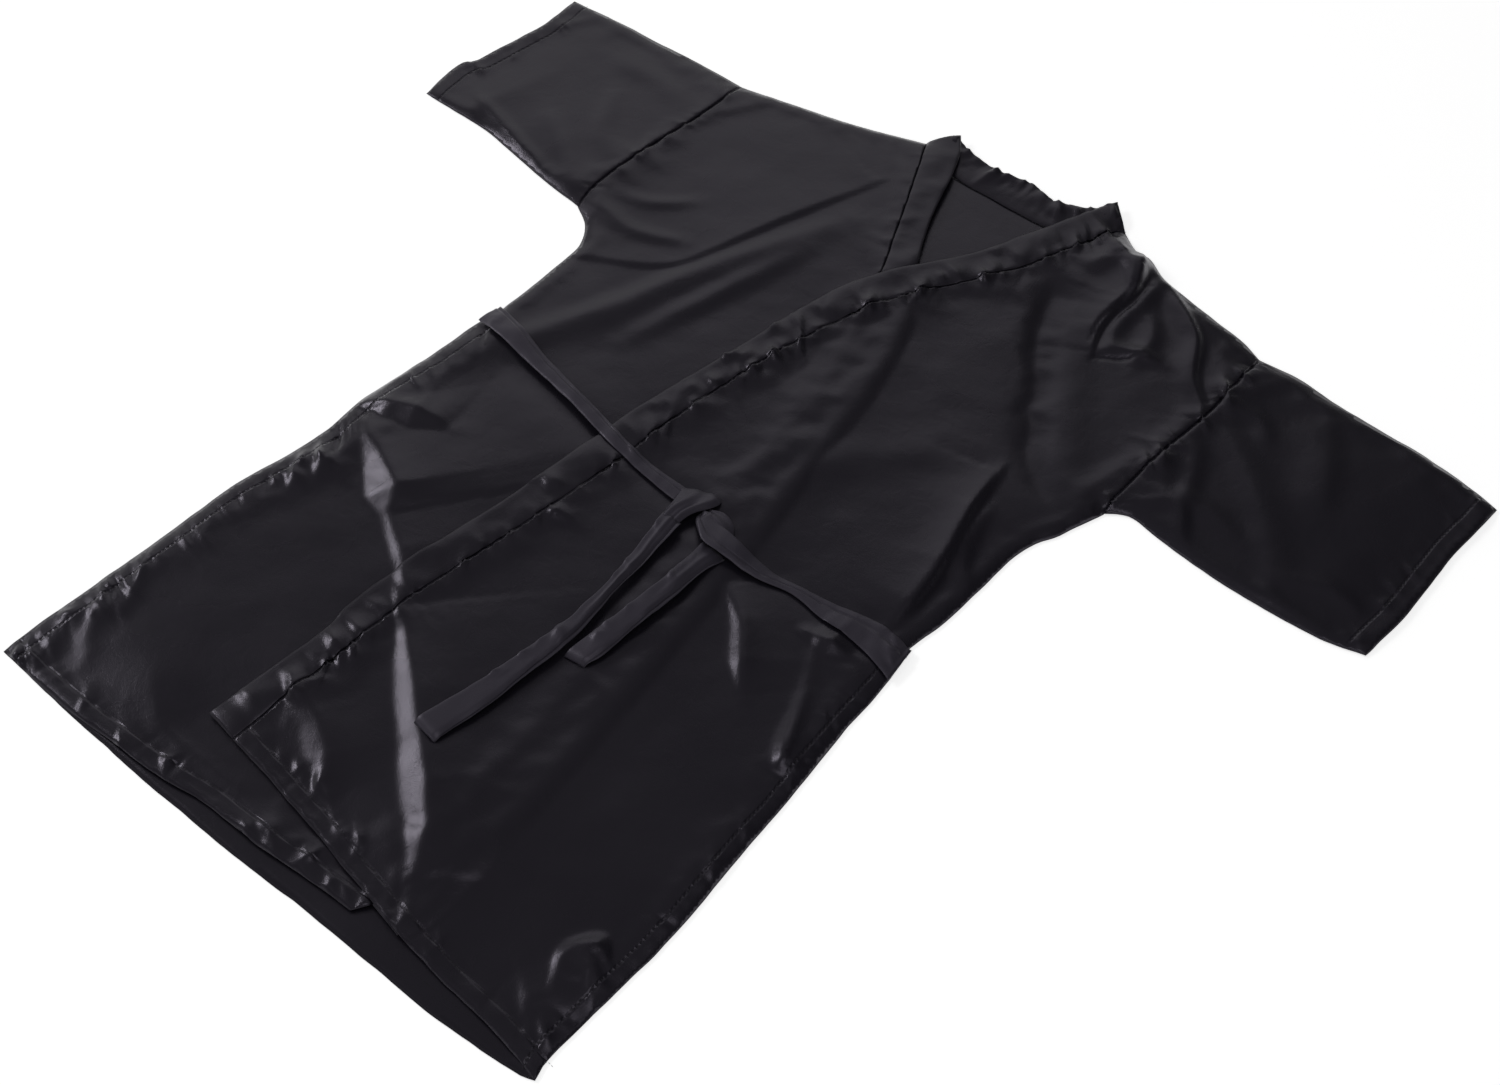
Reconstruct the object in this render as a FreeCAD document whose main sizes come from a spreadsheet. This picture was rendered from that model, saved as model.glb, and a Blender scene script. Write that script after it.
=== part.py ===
"""Wrap-front salon client gown of black satin, laid flat on its back and tied with a half knot.

+Z is up, +Y runs towards the neck and +X towards the wearer's left. The origin is on the floor
under the middle of the spread gown. The back lies on the floor, the two fronts lie over it with
the room for the wearer between them, and the left front laps over the right.
"""
import FreeCAD
import Part
import Sketcher
import math
import os

SIZES = [
    # alias, millimetres, meaning
    ("cloth", 0.8, "one layer of satin with its air"),
    ("band_depth", 1.6, "neck bands and ties are folded double"),
    ("thread_width", 0.9, "a line of stitches"),
    ("thread_depth", 0.4, "a line of stitches"),
    ("hem_half", 284, "half width at the hem"),
    ("hem_side", 490, "hem at the side seams, below the middle"),
    ("hem_sweep", 4038, "radius of the back hem"),
    ("flare_half", 280, "half width where the skirt stops flaring"),
    ("flare_low", 340, "place where the skirt stops flaring"),
    ("waist_half", 258, "half width at the waist"),
    ("waist_low", 0, "lower end of the straight waist"),
    ("waist_high", 130, "start of the underarm curve"),
    ("underarm_sweep", 42, "radius of the underarm curve"),
    ("armhole_half", 300, "armhole seams from the middle"),
    ("armhole_low", 172, "lower end of the armholes"),
    ("armhole_high", 404, "upper end of the armholes"),
    ("shoulder_half", 150, "bend of the shoulder line from the middle"),
    ("shoulder_high", 446, "bend of the shoulder line"),
    ("neck_half", 109, "neck points from the middle"),
    ("left_neck_high", 486.4, "left neck point"),
    ("right_neck_high", 466, "right neck point"),
    ("nape_half", 62, "straight part of the back neck seam"),
    ("nape_high", 439, "back neck seam"),
    ("nape_top", 472, "free edge of the back neck band"),
    ("collar_half", 84, "ends of the back neck band"),
    ("collar_low", 452, "ends of the back neck band"),
    ("band_width", 32, "neck band across"),
    ("neck_sweep", 528, "radius of the front neck curves"),
    ("left_curve_x", 10, "start of the left neck curve"),
    ("left_curve_y", 275, "start of the left neck curve"),
    ("left_line_x", 38.2, "end of the left neck curve"),
    ("left_line_y", 92.5, "end of the left neck curve"),
    ("left_corner_x", 80, "left band seam at the hem"),
    ("left_corner_y", 437, "left band seam at the hem"),
    ("right_curve_x", 22, "start of the right neck curve"),
    ("right_curve_y", 280, "start of the right neck curve"),
    ("right_line_x", 23.4, "end of the right neck curve"),
    ("right_line_y", 124.4, "end of the right neck curve"),
    ("right_corner_x", 100, "right band seam at the hem"),
    ("right_corner_y", 462, "right band seam at the hem"),
    ("right_level", 8, "underside of the right front"),
    ("left_level", 9.9, "underside of the left front"),
    ("seam_depth", 2, "side and shoulder seam allowances, across"),
    ("sleeve_near", 303, "armhole end of the sleeves"),
    ("sleeve_far", 530, "cuffs from the middle"),
    ("sleeve_high", 9, "thickness of a flattened sleeve"),
    ("sleeve_round", 6, "fold radius of a flattened sleeve"),
    ("sleeve_bore", 5.5, "fold radius inside a flattened sleeve"),
    ("cuff_low", 196, "lower edge of the cuffs"),
    ("cuff_high", 398, "upper edge of the cuffs"),
    ("cuff_seam", 512, "cuff stitching from the middle"),
    ("hem_seam", 15, "stitching above the hem edge"),
    ("edge_seam", 10, "stitching beside the side seams"),
    ("armhole_stitch", 4, "stitching beside the armhole seams"),
    ("stitch_end", 3, "stitching stops this far inside an edge"),
    ("hem_reach", 270, "hem stitching stops short of the side stitching"),
    ("tie_level", 11.8, "underside of the tied straps"),
    ("tie_end", 261, "tie roots from the middle, outside the side edges"),
    ("root_level", 4, "lowest point of the tie roots"),
    ("tie_width", 20, "ties across, where they are drawn tight"),
    ("right_root_y", 24, "upper edge of the right tie at its root"),
    ("right_bend_x", 103, "bend of the right tie"),
    ("right_bend_y", 8, "bend of the right tie"),
    ("right_knot_y", 26, "upper edge of the right tie at the knot"),
    ("left_root_y", 38, "upper edge of the left tie at its root"),
    ("left_bend_x", 125, "bend of the left tie"),
    ("left_bend_y", 46, "bend of the left tie"),
    ("left_knot_x", 66, "end of the left tie under the knot"),
    ("left_knot_y", 38, "upper edge of the left tie at the knot"),
    ("knot_left", 14, "right-hand side of the knot"),
    ("knot_right", 86, "left-hand side of the knot"),
    ("knot_low", 62, "lower side of the knot"),
    ("knot_high", 22, "upper side of the knot"),
    ("knot_depth", 7, "knot above the straps"),
    ("knot_round", 3.5, "rounding of the knot"),
    ("tail_start", 64, "start of the tie tails below the knot"),
    ("tail_lift", 20.4, "height of the tails at the knot"),
    ("tail_slope", 88, "place where the tails come to rest on the front"),
    ("tail_depth", 1.2, "tails, pressed flat"),
    ("long_tail_left", 18, "long tail"),
    ("long_tail_width", 26, "long tail"),
    ("long_tail_end", 343, "long tail"),
    ("short_tail_left", 60, "short tail"),
    ("short_tail_width", 24, "short tail"),
    ("short_tail_end", 217, "short tail"),
]

doc = FreeCAD.newDocument("SalonGown")
sheet = doc.addObject("Spreadsheet::Sheet", "Sizes")
for row, (alias, millimetres, meaning) in enumerate(SIZES, start=1):
    sheet.set(f"A{row}", meaning)
    sheet.set(f"B{row}", str(millimetres))
    sheet.setAlias(f"B{row}", alias)
doc.recompute()


def number(terms):
    """Value of a sum such as '- hem_half + cloth', whose words are cells of the sheet."""
    total, sign = 0.0, 1
    for word in terms.split():
        if word in "+-":
            sign = 1 if word == "+" else -1
        else:
            total += sign * float(sheet.get(word))
            sign = 1
    return total


def bound(terms):
    """The same sum as an expression that the document keeps up to date."""
    words = [word if word in "+-" else f"Sizes.{word}" for word in terms.split()]
    return " ".join(words)


def new_body(name):
    """A body whose label names its file."""
    body = doc.addObject("PartDesign::Body", name)
    body.Label = name
    return body


def new_sketch(body, name, plane="XY_Plane", level=None):
    """A sketch on one of the body's own planes, raised by the sum of cells in level."""
    sketch = body.newObject("Sketcher::SketchObject", name)
    support = next(f for f in body.Origin.OriginFeatures if f.Role == plane)
    sketch.AttachmentSupport = [(support, "")]
    sketch.MapMode = "FlatFace"
    if level:
        sketch.setExpression("AttachmentOffset.Base.z", bound(level))
    return sketch


def curve_between(start, end, radius):
    """Arc from start to end; a positive radius bends to the left of the way there."""
    chord = end - start
    rise = math.sqrt(radius ** 2 - (chord.Length / 2) ** 2)
    across = FreeCAD.Vector(-chord.y, chord.x, 0).normalize()
    centre = (start + end) * 0.5 + across * math.copysign(rise, radius)
    circle = Part.Circle(centre, FreeCAD.Vector(0, 0, 1), abs(radius))
    first, last = circle.parameter(start), circle.parameter(end)
    if radius < 0:
        first, last = last, first
    return Part.ArcOfCircle(circle, first, last)


def draw(sketch, corners, closed=True):
    """Draw and dimension an outline.

    Each corner is (x, y) or (x, y, radius, turn): sums of cells for its place, and for a curved
    side to the next corner the cell of its radius and +1 or -1 for the side that it turns to.
    """
    places = [FreeCAD.Vector(number(c[0]), number(c[1]), 0) for c in corners]
    sides = len(corners) if closed else len(corners) - 1
    ends = []
    for index in range(sides):
        start, end = places[index], places[(index + 1) % len(places)]
        if len(corners[index]) == 4:
            radius, turn = corners[index][2:]
            edge = sketch.addGeometry(curve_between(start, end, turn * number(radius)), False)
            rule = sketch.addConstraint(Sketcher.Constraint("Radius", edge, number(radius)))
            sketch.setExpression(f"Constraints[{rule}]", bound(radius))
            ends.append((edge, 1, 2) if turn > 0 else (edge, 2, 1))
        else:
            edge = sketch.addGeometry(Part.LineSegment(start, end), False)
            ends.append((edge, 1, 2))
    for index in range(sides if closed else sides - 1):
        following = ends[(index + 1) % sides]
        sketch.addConstraint(Sketcher.Constraint(
            "Coincident", ends[index][0], ends[index][2], following[0], following[1]))
    for index, corner in enumerate(corners):
        if index < sides:
            edge, point = ends[index][:2]
        else:
            edge, point = ends[-1][0], ends[-1][2]
        for kind, terms in (("DistanceX", corner[0]), ("DistanceY", corner[1])):
            rule = sketch.addConstraint(
                Sketcher.Constraint(kind, -1, 1, edge, point, number(terms)))
            sketch.setExpression(f"Constraints[{rule}]", bound(terms))
    return sketch


def pad(body, sketch, height):
    """Raise a sketch by the sum of cells in height."""
    feature = body.newObject("PartDesign::Pad", sketch.Name + "_pad")
    feature.Profile = sketch
    feature.setExpression("Length", bound(height))
    sketch.Visibility = False
    return feature


def plate(name, corners, level, height):
    """A flat piece: one outline, raised."""
    body = new_body(name)
    pad(body, draw(new_sketch(body, name + "_outline", level=level), corners), height)
    return body


def strip(name, path, width, level, height):
    """A strip beside an open path, to the right of its way, or to the left if width is negative."""
    spine = doc.addObject("Sketcher::SketchObject", name + "_path")
    draw(spine, path, closed=False)
    spine.setExpression("Placement.Base.z", bound(level))
    area = doc.addObject("Part::Offset2D", name + "_area")
    area.Source = spine
    area.setExpression("Value", bound(width))
    area.Mode = "Skin"
    area.Join = "Intersection"
    area.Fill = True
    solid = doc.addObject("Part::Extrusion", name)
    solid.Label = name
    solid.Base = area
    solid.DirMode = "Custom"
    solid.Dir = FreeCAD.Vector(0, 0, 1)
    solid.setExpression("LengthFwd", bound(height))
    solid.Solid = True
    return solid


def side_path(sign, inset="cloth - cloth"):
    """Side seam from the hem to the underarm, or a line the sum inset inside it.

    sign is + on the wearer's left and - on the right.
    """
    inward = f"{'-' if sign == '+' else '+'} {inset}"
    return [
        (f"{sign} hem_half {inward}", "- hem_side"),
        (f"{sign} flare_half {inward}", "- flare_low"),
        (f"{sign} waist_half {inward}", "waist_low"),
        (f"{sign} waist_half {inward}", "waist_high", f"underarm_sweep + {inset}",
         -1 if sign == "+" else 1),
        (f"{sign} armhole_half", f"armhole_low + {inset}"),
    ]


def shoulder_path(sign, neck_high):
    """Shoulder seam from the armhole to the neck point."""
    return [
        (f"{sign} armhole_half", "+ armhole_high"),
        (f"{sign} shoulder_half", "+ shoulder_high"),
        (f"{sign} neck_half", f"+ {neck_high}"),
    ]


LEFT_NECKLINE = [
    ("+ neck_half", "+ left_neck_high"),
    ("+ left_curve_x", "+ left_curve_y", "neck_sweep", 1),
    ("- left_line_x", "+ left_line_y"),
    ("- left_corner_x", "- left_corner_y", "hem_sweep", 1),
]
RIGHT_NECKLINE = [
    ("- neck_half", "+ right_neck_high"),
    ("- right_curve_x", "+ right_curve_y", "neck_sweep", -1),
    ("+ right_line_x", "+ right_line_y"),
    ("+ right_corner_x", "- right_corner_y", "hem_sweep", -1),
]


def reversed_path(path):
    """The same path walked the other way, each curve now turning to the other side."""
    corners = []
    for index in range(len(path) - 1, -1, -1):
        curve = path[index - 1][2:] if index > 0 else ()
        corners.append(path[index][:2] + ((curve[0], -curve[1]) if curve else ()))
    return corners


def oval(body, name, station, low, high, floor, ceiling, radius):
    """Cross-section of a flattened tube, standing across X at the sum of cells in station."""
    sketch = new_sketch(body, name, "YZ_Plane", station)
    return draw(sketch, [(low, floor), (high, floor, radius, 1), (high, ceiling),
                         (low, ceiling, radius, 1)])


def sleeve(name, sign):
    """A flattened sleeve: one layer of cloth all round, open at the armhole and the cuff."""
    body = new_body(name)
    ends = [("armhole", f"{sign} sleeve_near"), ("cuff", f"{sign} sleeve_far")]
    outer = [oval(body, f"{name}_{end}_outside", station, f"{end}_low", f"{end}_high",
                  "cloth - cloth", "sleeve_high", "sleeve_round") for end, station in ends]
    inner = [oval(body, f"{name}_{end}_inside", station, f"{end}_low", f"{end}_high",
                  "cloth", "sleeve_high - cloth", "sleeve_bore") for end, station in ends]
    for kind, sections in (("Additive", outer), ("Subtractive", inner)):
        loft = body.newObject(f"PartDesign::{kind}Loft", f"{name}_{kind}")
        loft.Profile = sections[0]
        loft.Sections = sections[1:]
        loft.Ruled = True
    return body


def tie(name, side, path, root_low):
    """A strap from its root, which is folded round the side edge at side, to the knot."""
    run = strip(f"{name}_run", path, "tie_width", "tie_level", "band_depth")
    root = doc.addObject("Part::Box", f"{name}_root")
    for key, terms in (("Length", "cloth"), ("Width", "tie_width"),
                       ("Height", "tie_level + band_depth - root_level"),
                       ("Placement.Base.x", side), ("Placement.Base.y", root_low),
                       ("Placement.Base.z", "root_level")):
        root.setExpression(key, bound(terms))
    whole = doc.addObject("Part::Fuse", name)
    whole.Label = name
    whole.Base, whole.Tool = run, root
    return whole


def tail(name, left, width, end):
    """A loose end of a tie: it slopes down from the knot and lies on the left front."""
    body = new_body(name)
    sketch = new_sketch(body, name + "_side", "YZ_Plane", left)
    draw(sketch, [("- tail_start", "tail_lift"), ("- tail_slope", "tie_level + tail_depth"),
                  (f"- {end}", "tie_level + tail_depth"), (f"- {end}", "tie_level"),
                  ("- tail_slope", "tie_level"), ("- tail_start", "tail_lift - tail_depth")])
    pad(body, sketch, width)
    return body


def straight_thread(name, near, far, low, high, level):
    """A straight line of stitches along Y, stopping short of both edges."""
    low, high = f"{low} + stitch_end", f"{high} - stitch_end"
    return plate(name, [(near, low), (far, low), (far, high), (near, high)],
                 level, "thread_depth")


# --- cloth panels -----------------------------------------------------------------------------
back_outline = (
    [("- hem_half", "- hem_side", "hem_sweep", 1)]
    + side_path("+")
    + shoulder_path("+", "left_neck_high")
    + [("+ nape_half", "+ nape_high"), ("- nape_half", "+ nape_high")]
    + reversed_path(shoulder_path("-", "right_neck_high"))
    + reversed_path(side_path("-"))[:-1]
)
plate("back_panel", back_outline, None, "cloth")
plate("left_front_panel",
      LEFT_NECKLINE + side_path("+") + shoulder_path("+", "left_neck_high")[:-1],
      "left_level", "cloth")
plate("right_front_panel",
      RIGHT_NECKLINE + side_path("-") + shoulder_path("-", "right_neck_high")[:-1],
      "right_level", "cloth")

# --- neck bands -------------------------------------------------------------------------------
strip("left_front_band", LEFT_NECKLINE, "band_width", "left_level", "band_depth")
strip("right_front_band", RIGHT_NECKLINE, "- band_width", "right_level", "band_depth")
plate("back_neck_band",
      [("- collar_half", "+ collar_low"), ("- nape_half", "+ nape_high"),
       ("+ nape_half", "+ nape_high"), ("+ collar_half", "+ collar_low"),
       ("+ collar_half", "+ nape_top"), ("- collar_half", "+ nape_top")],
      "cloth", "band_depth")

# --- seam allowances between the back and the fronts ------------------------------------------
strip("left_side_seam", side_path("+"), "- seam_depth", "cloth", "left_level - cloth")
strip("right_side_seam", side_path("-"), "seam_depth", "cloth", "right_level - cloth")
strip("left_shoulder_seam", shoulder_path("+", "left_neck_high"), "- seam_depth",
      "cloth", "left_level - cloth")
strip("right_shoulder_seam", shoulder_path("-", "right_neck_high"), "seam_depth",
      "cloth", "right_level - cloth")

# --- sleeves ----------------------------------------------------------------------------------
for side, sign in (("left", "+"), ("right", "-")):
    sleeve(f"{side}_sleeve", sign)

# --- ties -------------------------------------------------------------------------------------
tie("right_tie", "- tie_end",
    [("- tie_end", "right_root_y"), ("- right_bend_x", "- right_bend_y"),
     ("knot_left", "- right_knot_y")],
    "right_root_y - tie_width")
tie("left_tie", "tie_end - cloth",
    [("left_knot_x", "- left_knot_y"), ("left_bend_x", "- left_bend_y"),
     ("tie_end", "- left_root_y")],
    "- left_root_y - tie_width")

knot = new_body("tie_knot")
lump = pad(knot, draw(new_sketch(knot, "knot_outline", level="tie_level + band_depth"),
                      [("knot_left", "- knot_low"), ("knot_right", "- knot_low"),
                       ("knot_right", "- knot_high"), ("knot_left", "- knot_high")]),
           "knot_depth")
doc.recompute()
rounding = knot.newObject("PartDesign::Fillet", "knot_rounding")
top = lump.Shape.BoundBox.ZMax
rounding.Base = (lump, [f"Edge{n}" for n, edge in enumerate(lump.Shape.Edges, start=1)
                        if edge.BoundBox.ZMax > top - 1e-3])
rounding.setExpression("Radius", bound("knot_round"))

for length in ("long", "short"):
    tail(f"{length}_tie_tail", f"{length}_tail_left", f"{length}_tail_width",
         f"{length}_tail_end")

# --- stitching --------------------------------------------------------------------------------
on_left, on_right = "left_level + cloth", "right_level + cloth"
strip("left_band_thread", LEFT_NECKLINE, "- thread_width", on_left, "thread_depth")
strip("right_band_thread", RIGHT_NECKLINE, "thread_width", on_right, "thread_depth")
strip("neck_band_thread",
      [("- collar_half", "collar_low"), ("- nape_half", "nape_high"),
       ("nape_half", "nape_high"), ("collar_half", "collar_low")],
      "thread_width", "cloth", "thread_depth")
strip("back_hem_thread",
      [("- hem_reach", "- hem_side + hem_seam", "hem_sweep", 1),
       ("hem_reach", "- hem_side + hem_seam")],
      "thread_width", "cloth", "thread_depth")
strip("left_hem_thread",
      [("- left_corner_x + stitch_end", "- left_corner_y + hem_seam", "hem_sweep", 1),
       ("hem_reach", "- hem_side + hem_seam")],
      "thread_width", on_left, "thread_depth")
strip("right_hem_thread",
      [("right_corner_x - stitch_end", "- right_corner_y + hem_seam", "hem_sweep", -1),
       ("- hem_reach", "- hem_side + hem_seam")],
      "- thread_width", on_right, "thread_depth")
strip("left_side_thread", side_path("+", "edge_seam"), "- thread_width", on_left,
      "thread_depth")
strip("right_side_thread", side_path("-", "edge_seam"), "thread_width", on_right,
      "thread_depth")
for side, sign, level in (("left", "+", on_left), ("right", "-", on_right)):
    inward = "-" if sign == "+" else "+"
    seam = f"{sign} armhole_half {inward} armhole_stitch"
    straight_thread(f"{side}_armhole_thread", seam, f"{seam} {inward} thread_width",
                    "armhole_low + edge_seam", "armhole_high", level)
    cuff = f"{sign} cuff_seam"
    straight_thread(f"{side}_cuff_thread", cuff, f"{cuff} {inward} thread_width",
                    "cuff_low", "cuff_high", "sleeve_high")

# --- checks and export ------------------------------------------------------------------------
doc.recompute()
failed = [item.Name for item in doc.Objects if {"Invalid", "Error"} & set(item.State)]
if failed:
    raise RuntimeError(f"these objects did not build: {failed}")

pieces = doc.findObjects("PartDesign::Body") + [
    item for item in doc.Objects
    if item.TypeId in ("Part::Extrusion", "Part::Fuse") and not item.InList]
os.makedirs("parts", exist_ok=True)
for piece in sorted(pieces, key=lambda item: item.Label):
    shape = piece.Shape
    if shape.isNull() or not shape.isValid() or not shape.Solids:
        raise RuntimeError(f"{piece.Label} is not a valid solid")
    shape.exportStep(f"parts/{piece.Label}.step")
    box = shape.BoundBox
    print(f"{piece.Label:22s} {shape.Volume:9.0f} mm3  "
          f"x {box.XMin:7.1f} {box.XMax:7.1f}  y {box.YMin:7.1f} {box.YMax:7.1f}  "
          f"z {box.ZMin:5.1f} {box.ZMax:5.1f}")
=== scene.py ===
"""Black satin salon gown, laid flat on its back with the ties in a half knot.

Lengths are written in millimetres where they are drawn and turned to metres by mm(). The frame is
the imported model's: +Z up, +Y from the hem to the neck, +X towards the wearer's left cuff.
"""

import logging
import math
from dataclasses import dataclass, field
from enum import Enum
from typing import Callable, Optional, Protocol, Sequence

import bmesh
import bpy
import numpy as np
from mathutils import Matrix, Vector
from mathutils.geometry import delaunay_2d_cdt
from mathutils.kdtree import KDTree


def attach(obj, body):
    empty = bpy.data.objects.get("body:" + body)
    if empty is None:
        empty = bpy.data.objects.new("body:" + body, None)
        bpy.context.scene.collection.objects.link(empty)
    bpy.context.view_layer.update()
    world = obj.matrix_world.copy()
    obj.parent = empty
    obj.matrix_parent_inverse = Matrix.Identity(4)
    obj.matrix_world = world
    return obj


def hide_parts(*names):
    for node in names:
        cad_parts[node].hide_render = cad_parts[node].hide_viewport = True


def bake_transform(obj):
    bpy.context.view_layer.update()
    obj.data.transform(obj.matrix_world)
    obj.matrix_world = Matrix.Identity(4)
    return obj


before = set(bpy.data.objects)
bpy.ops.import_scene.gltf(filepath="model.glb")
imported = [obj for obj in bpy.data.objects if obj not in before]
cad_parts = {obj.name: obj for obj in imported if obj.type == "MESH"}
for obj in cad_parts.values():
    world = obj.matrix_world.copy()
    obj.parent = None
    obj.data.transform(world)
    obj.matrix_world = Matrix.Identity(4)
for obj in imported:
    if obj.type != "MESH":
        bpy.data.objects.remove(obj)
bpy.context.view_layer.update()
LOG = logging.getLogger("gown")
Points = Sequence[tuple[float, ...]]
Surface = Callable[[np.ndarray, np.ndarray, np.ndarray], np.ndarray]
Bend = tuple[tuple[float, float], tuple[float, float]]

MM = 0.001
CLOTH = 0.0005  # thickness of the satin, in metres
CUT_MARGIN = 1.01  # cloth that is cut for a panel, as a share of its outline
HEM_DEPTH, CUFF_DEPTH = 15, 17  # from the edge to the stitches, in millimetres
FELL_RIGHT, FELL_LEFT = 16, 12  # from the side edges to the stitches, in millimetres
EDGE_STEP = 0.002  # between the points of a strip's edges, in metres

# --- the cut of the gown, in millimetres ---------------------------------------------------------
HEM_BACK = [(-284, -499), (-190, -502), (-99, -503), (0, -501), (82, -497), (192, -495),
            (265, -488), (284, -483)]
HEM_RIGHT = [(-284, -499), (-209, -501), (-158, -498), (-108, -495), (-55, -487), (3, -485),
             (50, -480), (97, -477), (135, -469)]
HEM_LEFT = [(-113, -433), (-44, -441), (23, -450), (78, -459), (134, -468), (184, -473),
            (235, -476), (284, -483)]
SIDE_RIGHT = [(-284, -499), (-285, -471), (-281, -353), (-280, -271), (-271, -215),
              (-268, -174), (-271, -130), (-265, -62), (-262, 3), (-258, 30), (-260, 102),
              (-262, 127), (-270, 145), (-283, 159), (-302, 170)]
SIDE_LEFT = [(284, -483), (280, -457), (281, -343), (275, -266), (270, -199), (263, -130),
             (259, -66), (252, -34), (258, 14), (259, 92), (264, 118), (274, 138), (281, 160),
             (288, 182)]
UNDERARM_RIGHT = [(-302, 170), (-333, 173), (-364, 177), (-434, 189), (-467, 191), (-530, 191)]
UNDERARM_LEFT = [(288, 182), (300, 190), (313, 193), (351, 187), (421, 183), (489, 187),
                 (527, 196)]
CUFF_RIGHT = [(-522, 395), (-516, 346), (-520, 314), (-527, 261), (-536, 243), (-530, 191)]
CUFF_LEFT = [(533, 398), (529, 327), (531, 256), (527, 196)]
SLEEVE_TOP_RIGHT = [(-300, 403), (-355, 403), (-407, 401), (-465, 399), (-522, 395)]
SLEEVE_TOP_LEFT = [(291, 417), (330, 420), (374, 415), (450, 412), (496, 407), (533, 398)]
ARMHOLE_RIGHT = [(-302, 170), (-306, 193), (-306, 231), (-303, 289), (-299, 347), (-300, 403)]
ARMHOLE_LEFT = [(288, 182), (287, 221), (290, 284), (294, 327), (293, 358), (291, 417)]
SHOULDER_RIGHT = [(-300, 403), (-240, 416), (-187, 429), (-151, 440), (-109, 455)]
SHOULDER_LEFT = [(291, 417), (265, 427), (220, 436), (173, 447), (147, 461), (130, 462),
                 (105, 478)]
BAND_SEAM_RIGHT = [(-109, 455), (-100, 440), (-61, 358), (-25, 279), (-3, 222), (14, 170),
                   (28, 100), (44, 10), (60, -90), (80, -230), (94, -350), (103, -464)]
BAND_EDGE_RIGHT = [(-86, 480), (-65, 447), (-35, 366), (-7, 309), (26, 234), (44, 178),
                   (60, 104), (76, 14), (92, -86), (112, -226), (126, -346), (135, -469)]
BAND_SEAM_LEFT = [(105, 478), (86, 425), (68, 376), (47, 336), (-2, 249), (-27, 162),
                  (-41, 76), (-48, 18), (-51, -45), (-58, -112), (-66, -178), (-77, -262),
                  (-77, -322), (-79, -380), (-81, -437)]
BAND_EDGE_LEFT = [(82, 500), (70, 475), (25, 364), (-26, 277), (-46, 222), (-62, 117),
                  (-80, 0), (-90, -124), (-97, -180), (-105, -237), (-108, -294), (-104, -331),
                  (-113, -433)]
NAPE_SEAM = [(-109, 455), (-88, 446), (-54, 438), (16, 437), (57, 440), (88, 455), (105, 478)]
NAPE_EDGE = [(-86, 480), (-81, 474), (-58, 468), (-26, 466), (6, 472), (32, 466), (62, 476),
             (82, 500)]
SEWN_SIDE_RIGHT, SEWN_SIDE_LEFT = SIDE_RIGHT[:9], SIDE_LEFT[:8]
PANEL_HEM_RIGHT = HEM_RIGHT[:-2] + [(97, -477)]
PANEL_HEM_LEFT = [(-81, -437)] + HEM_LEFT[1:]
SHOULDER_SLIT = [(157, 430), (161, 395), (160, 362), (167, 335)]
SLIT_END = [(180, 322), (200, 336), (214, 352)]
BAND_NIPS = [((-62, -127), (-44, -121), (-24, -118)), ((-100, -306), (-84, -309), (-74, -314)),
             ((-98, -330), (-86, -332), (-72, -330))]


def mm(points: Points) -> np.ndarray:
    """Points in millimetres as an array in metres."""
    return np.array(points, float) * MM


def smooth_path(points: Points, step: float) -> np.ndarray:
    """Draw a smooth curve through points.

    Args:
        points: places in millimetres that the curve goes through.
        step: distance between the samples, in metres.

    Returns:
        Evenly spaced samples in metres, one row each.
    """
    knots = mm(points)
    if len(knots) > 2:
        ends = np.vstack([2 * knots[0] - knots[1], knots, 2 * knots[-1] - knots[-2]])
        share = np.linspace(0, 1, 12, endpoint=False)[:, None]
        spans = []
        for a, b, c, d in zip(ends, ends[1:], ends[2:], ends[3:]):
            spans.append(0.5 * (2 * b + (c - a) * share + (2 * a - 5 * b + 4 * c - d) * share ** 2
                                + (3 * b - a - 3 * c + d) * share ** 3))
        knots = np.vstack(spans + [ends[-2]])
    lengths = np.r_[0, np.cumsum(np.linalg.norm(np.diff(knots, axis=0), axis=1))]
    count = max(2, round(lengths[-1] / step) + 1)
    stations = np.linspace(0, lengths[-1], count)
    return np.column_stack([np.interp(stations, lengths, knots[:, axis])
                            for axis in range(knots.shape[1])])


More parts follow.
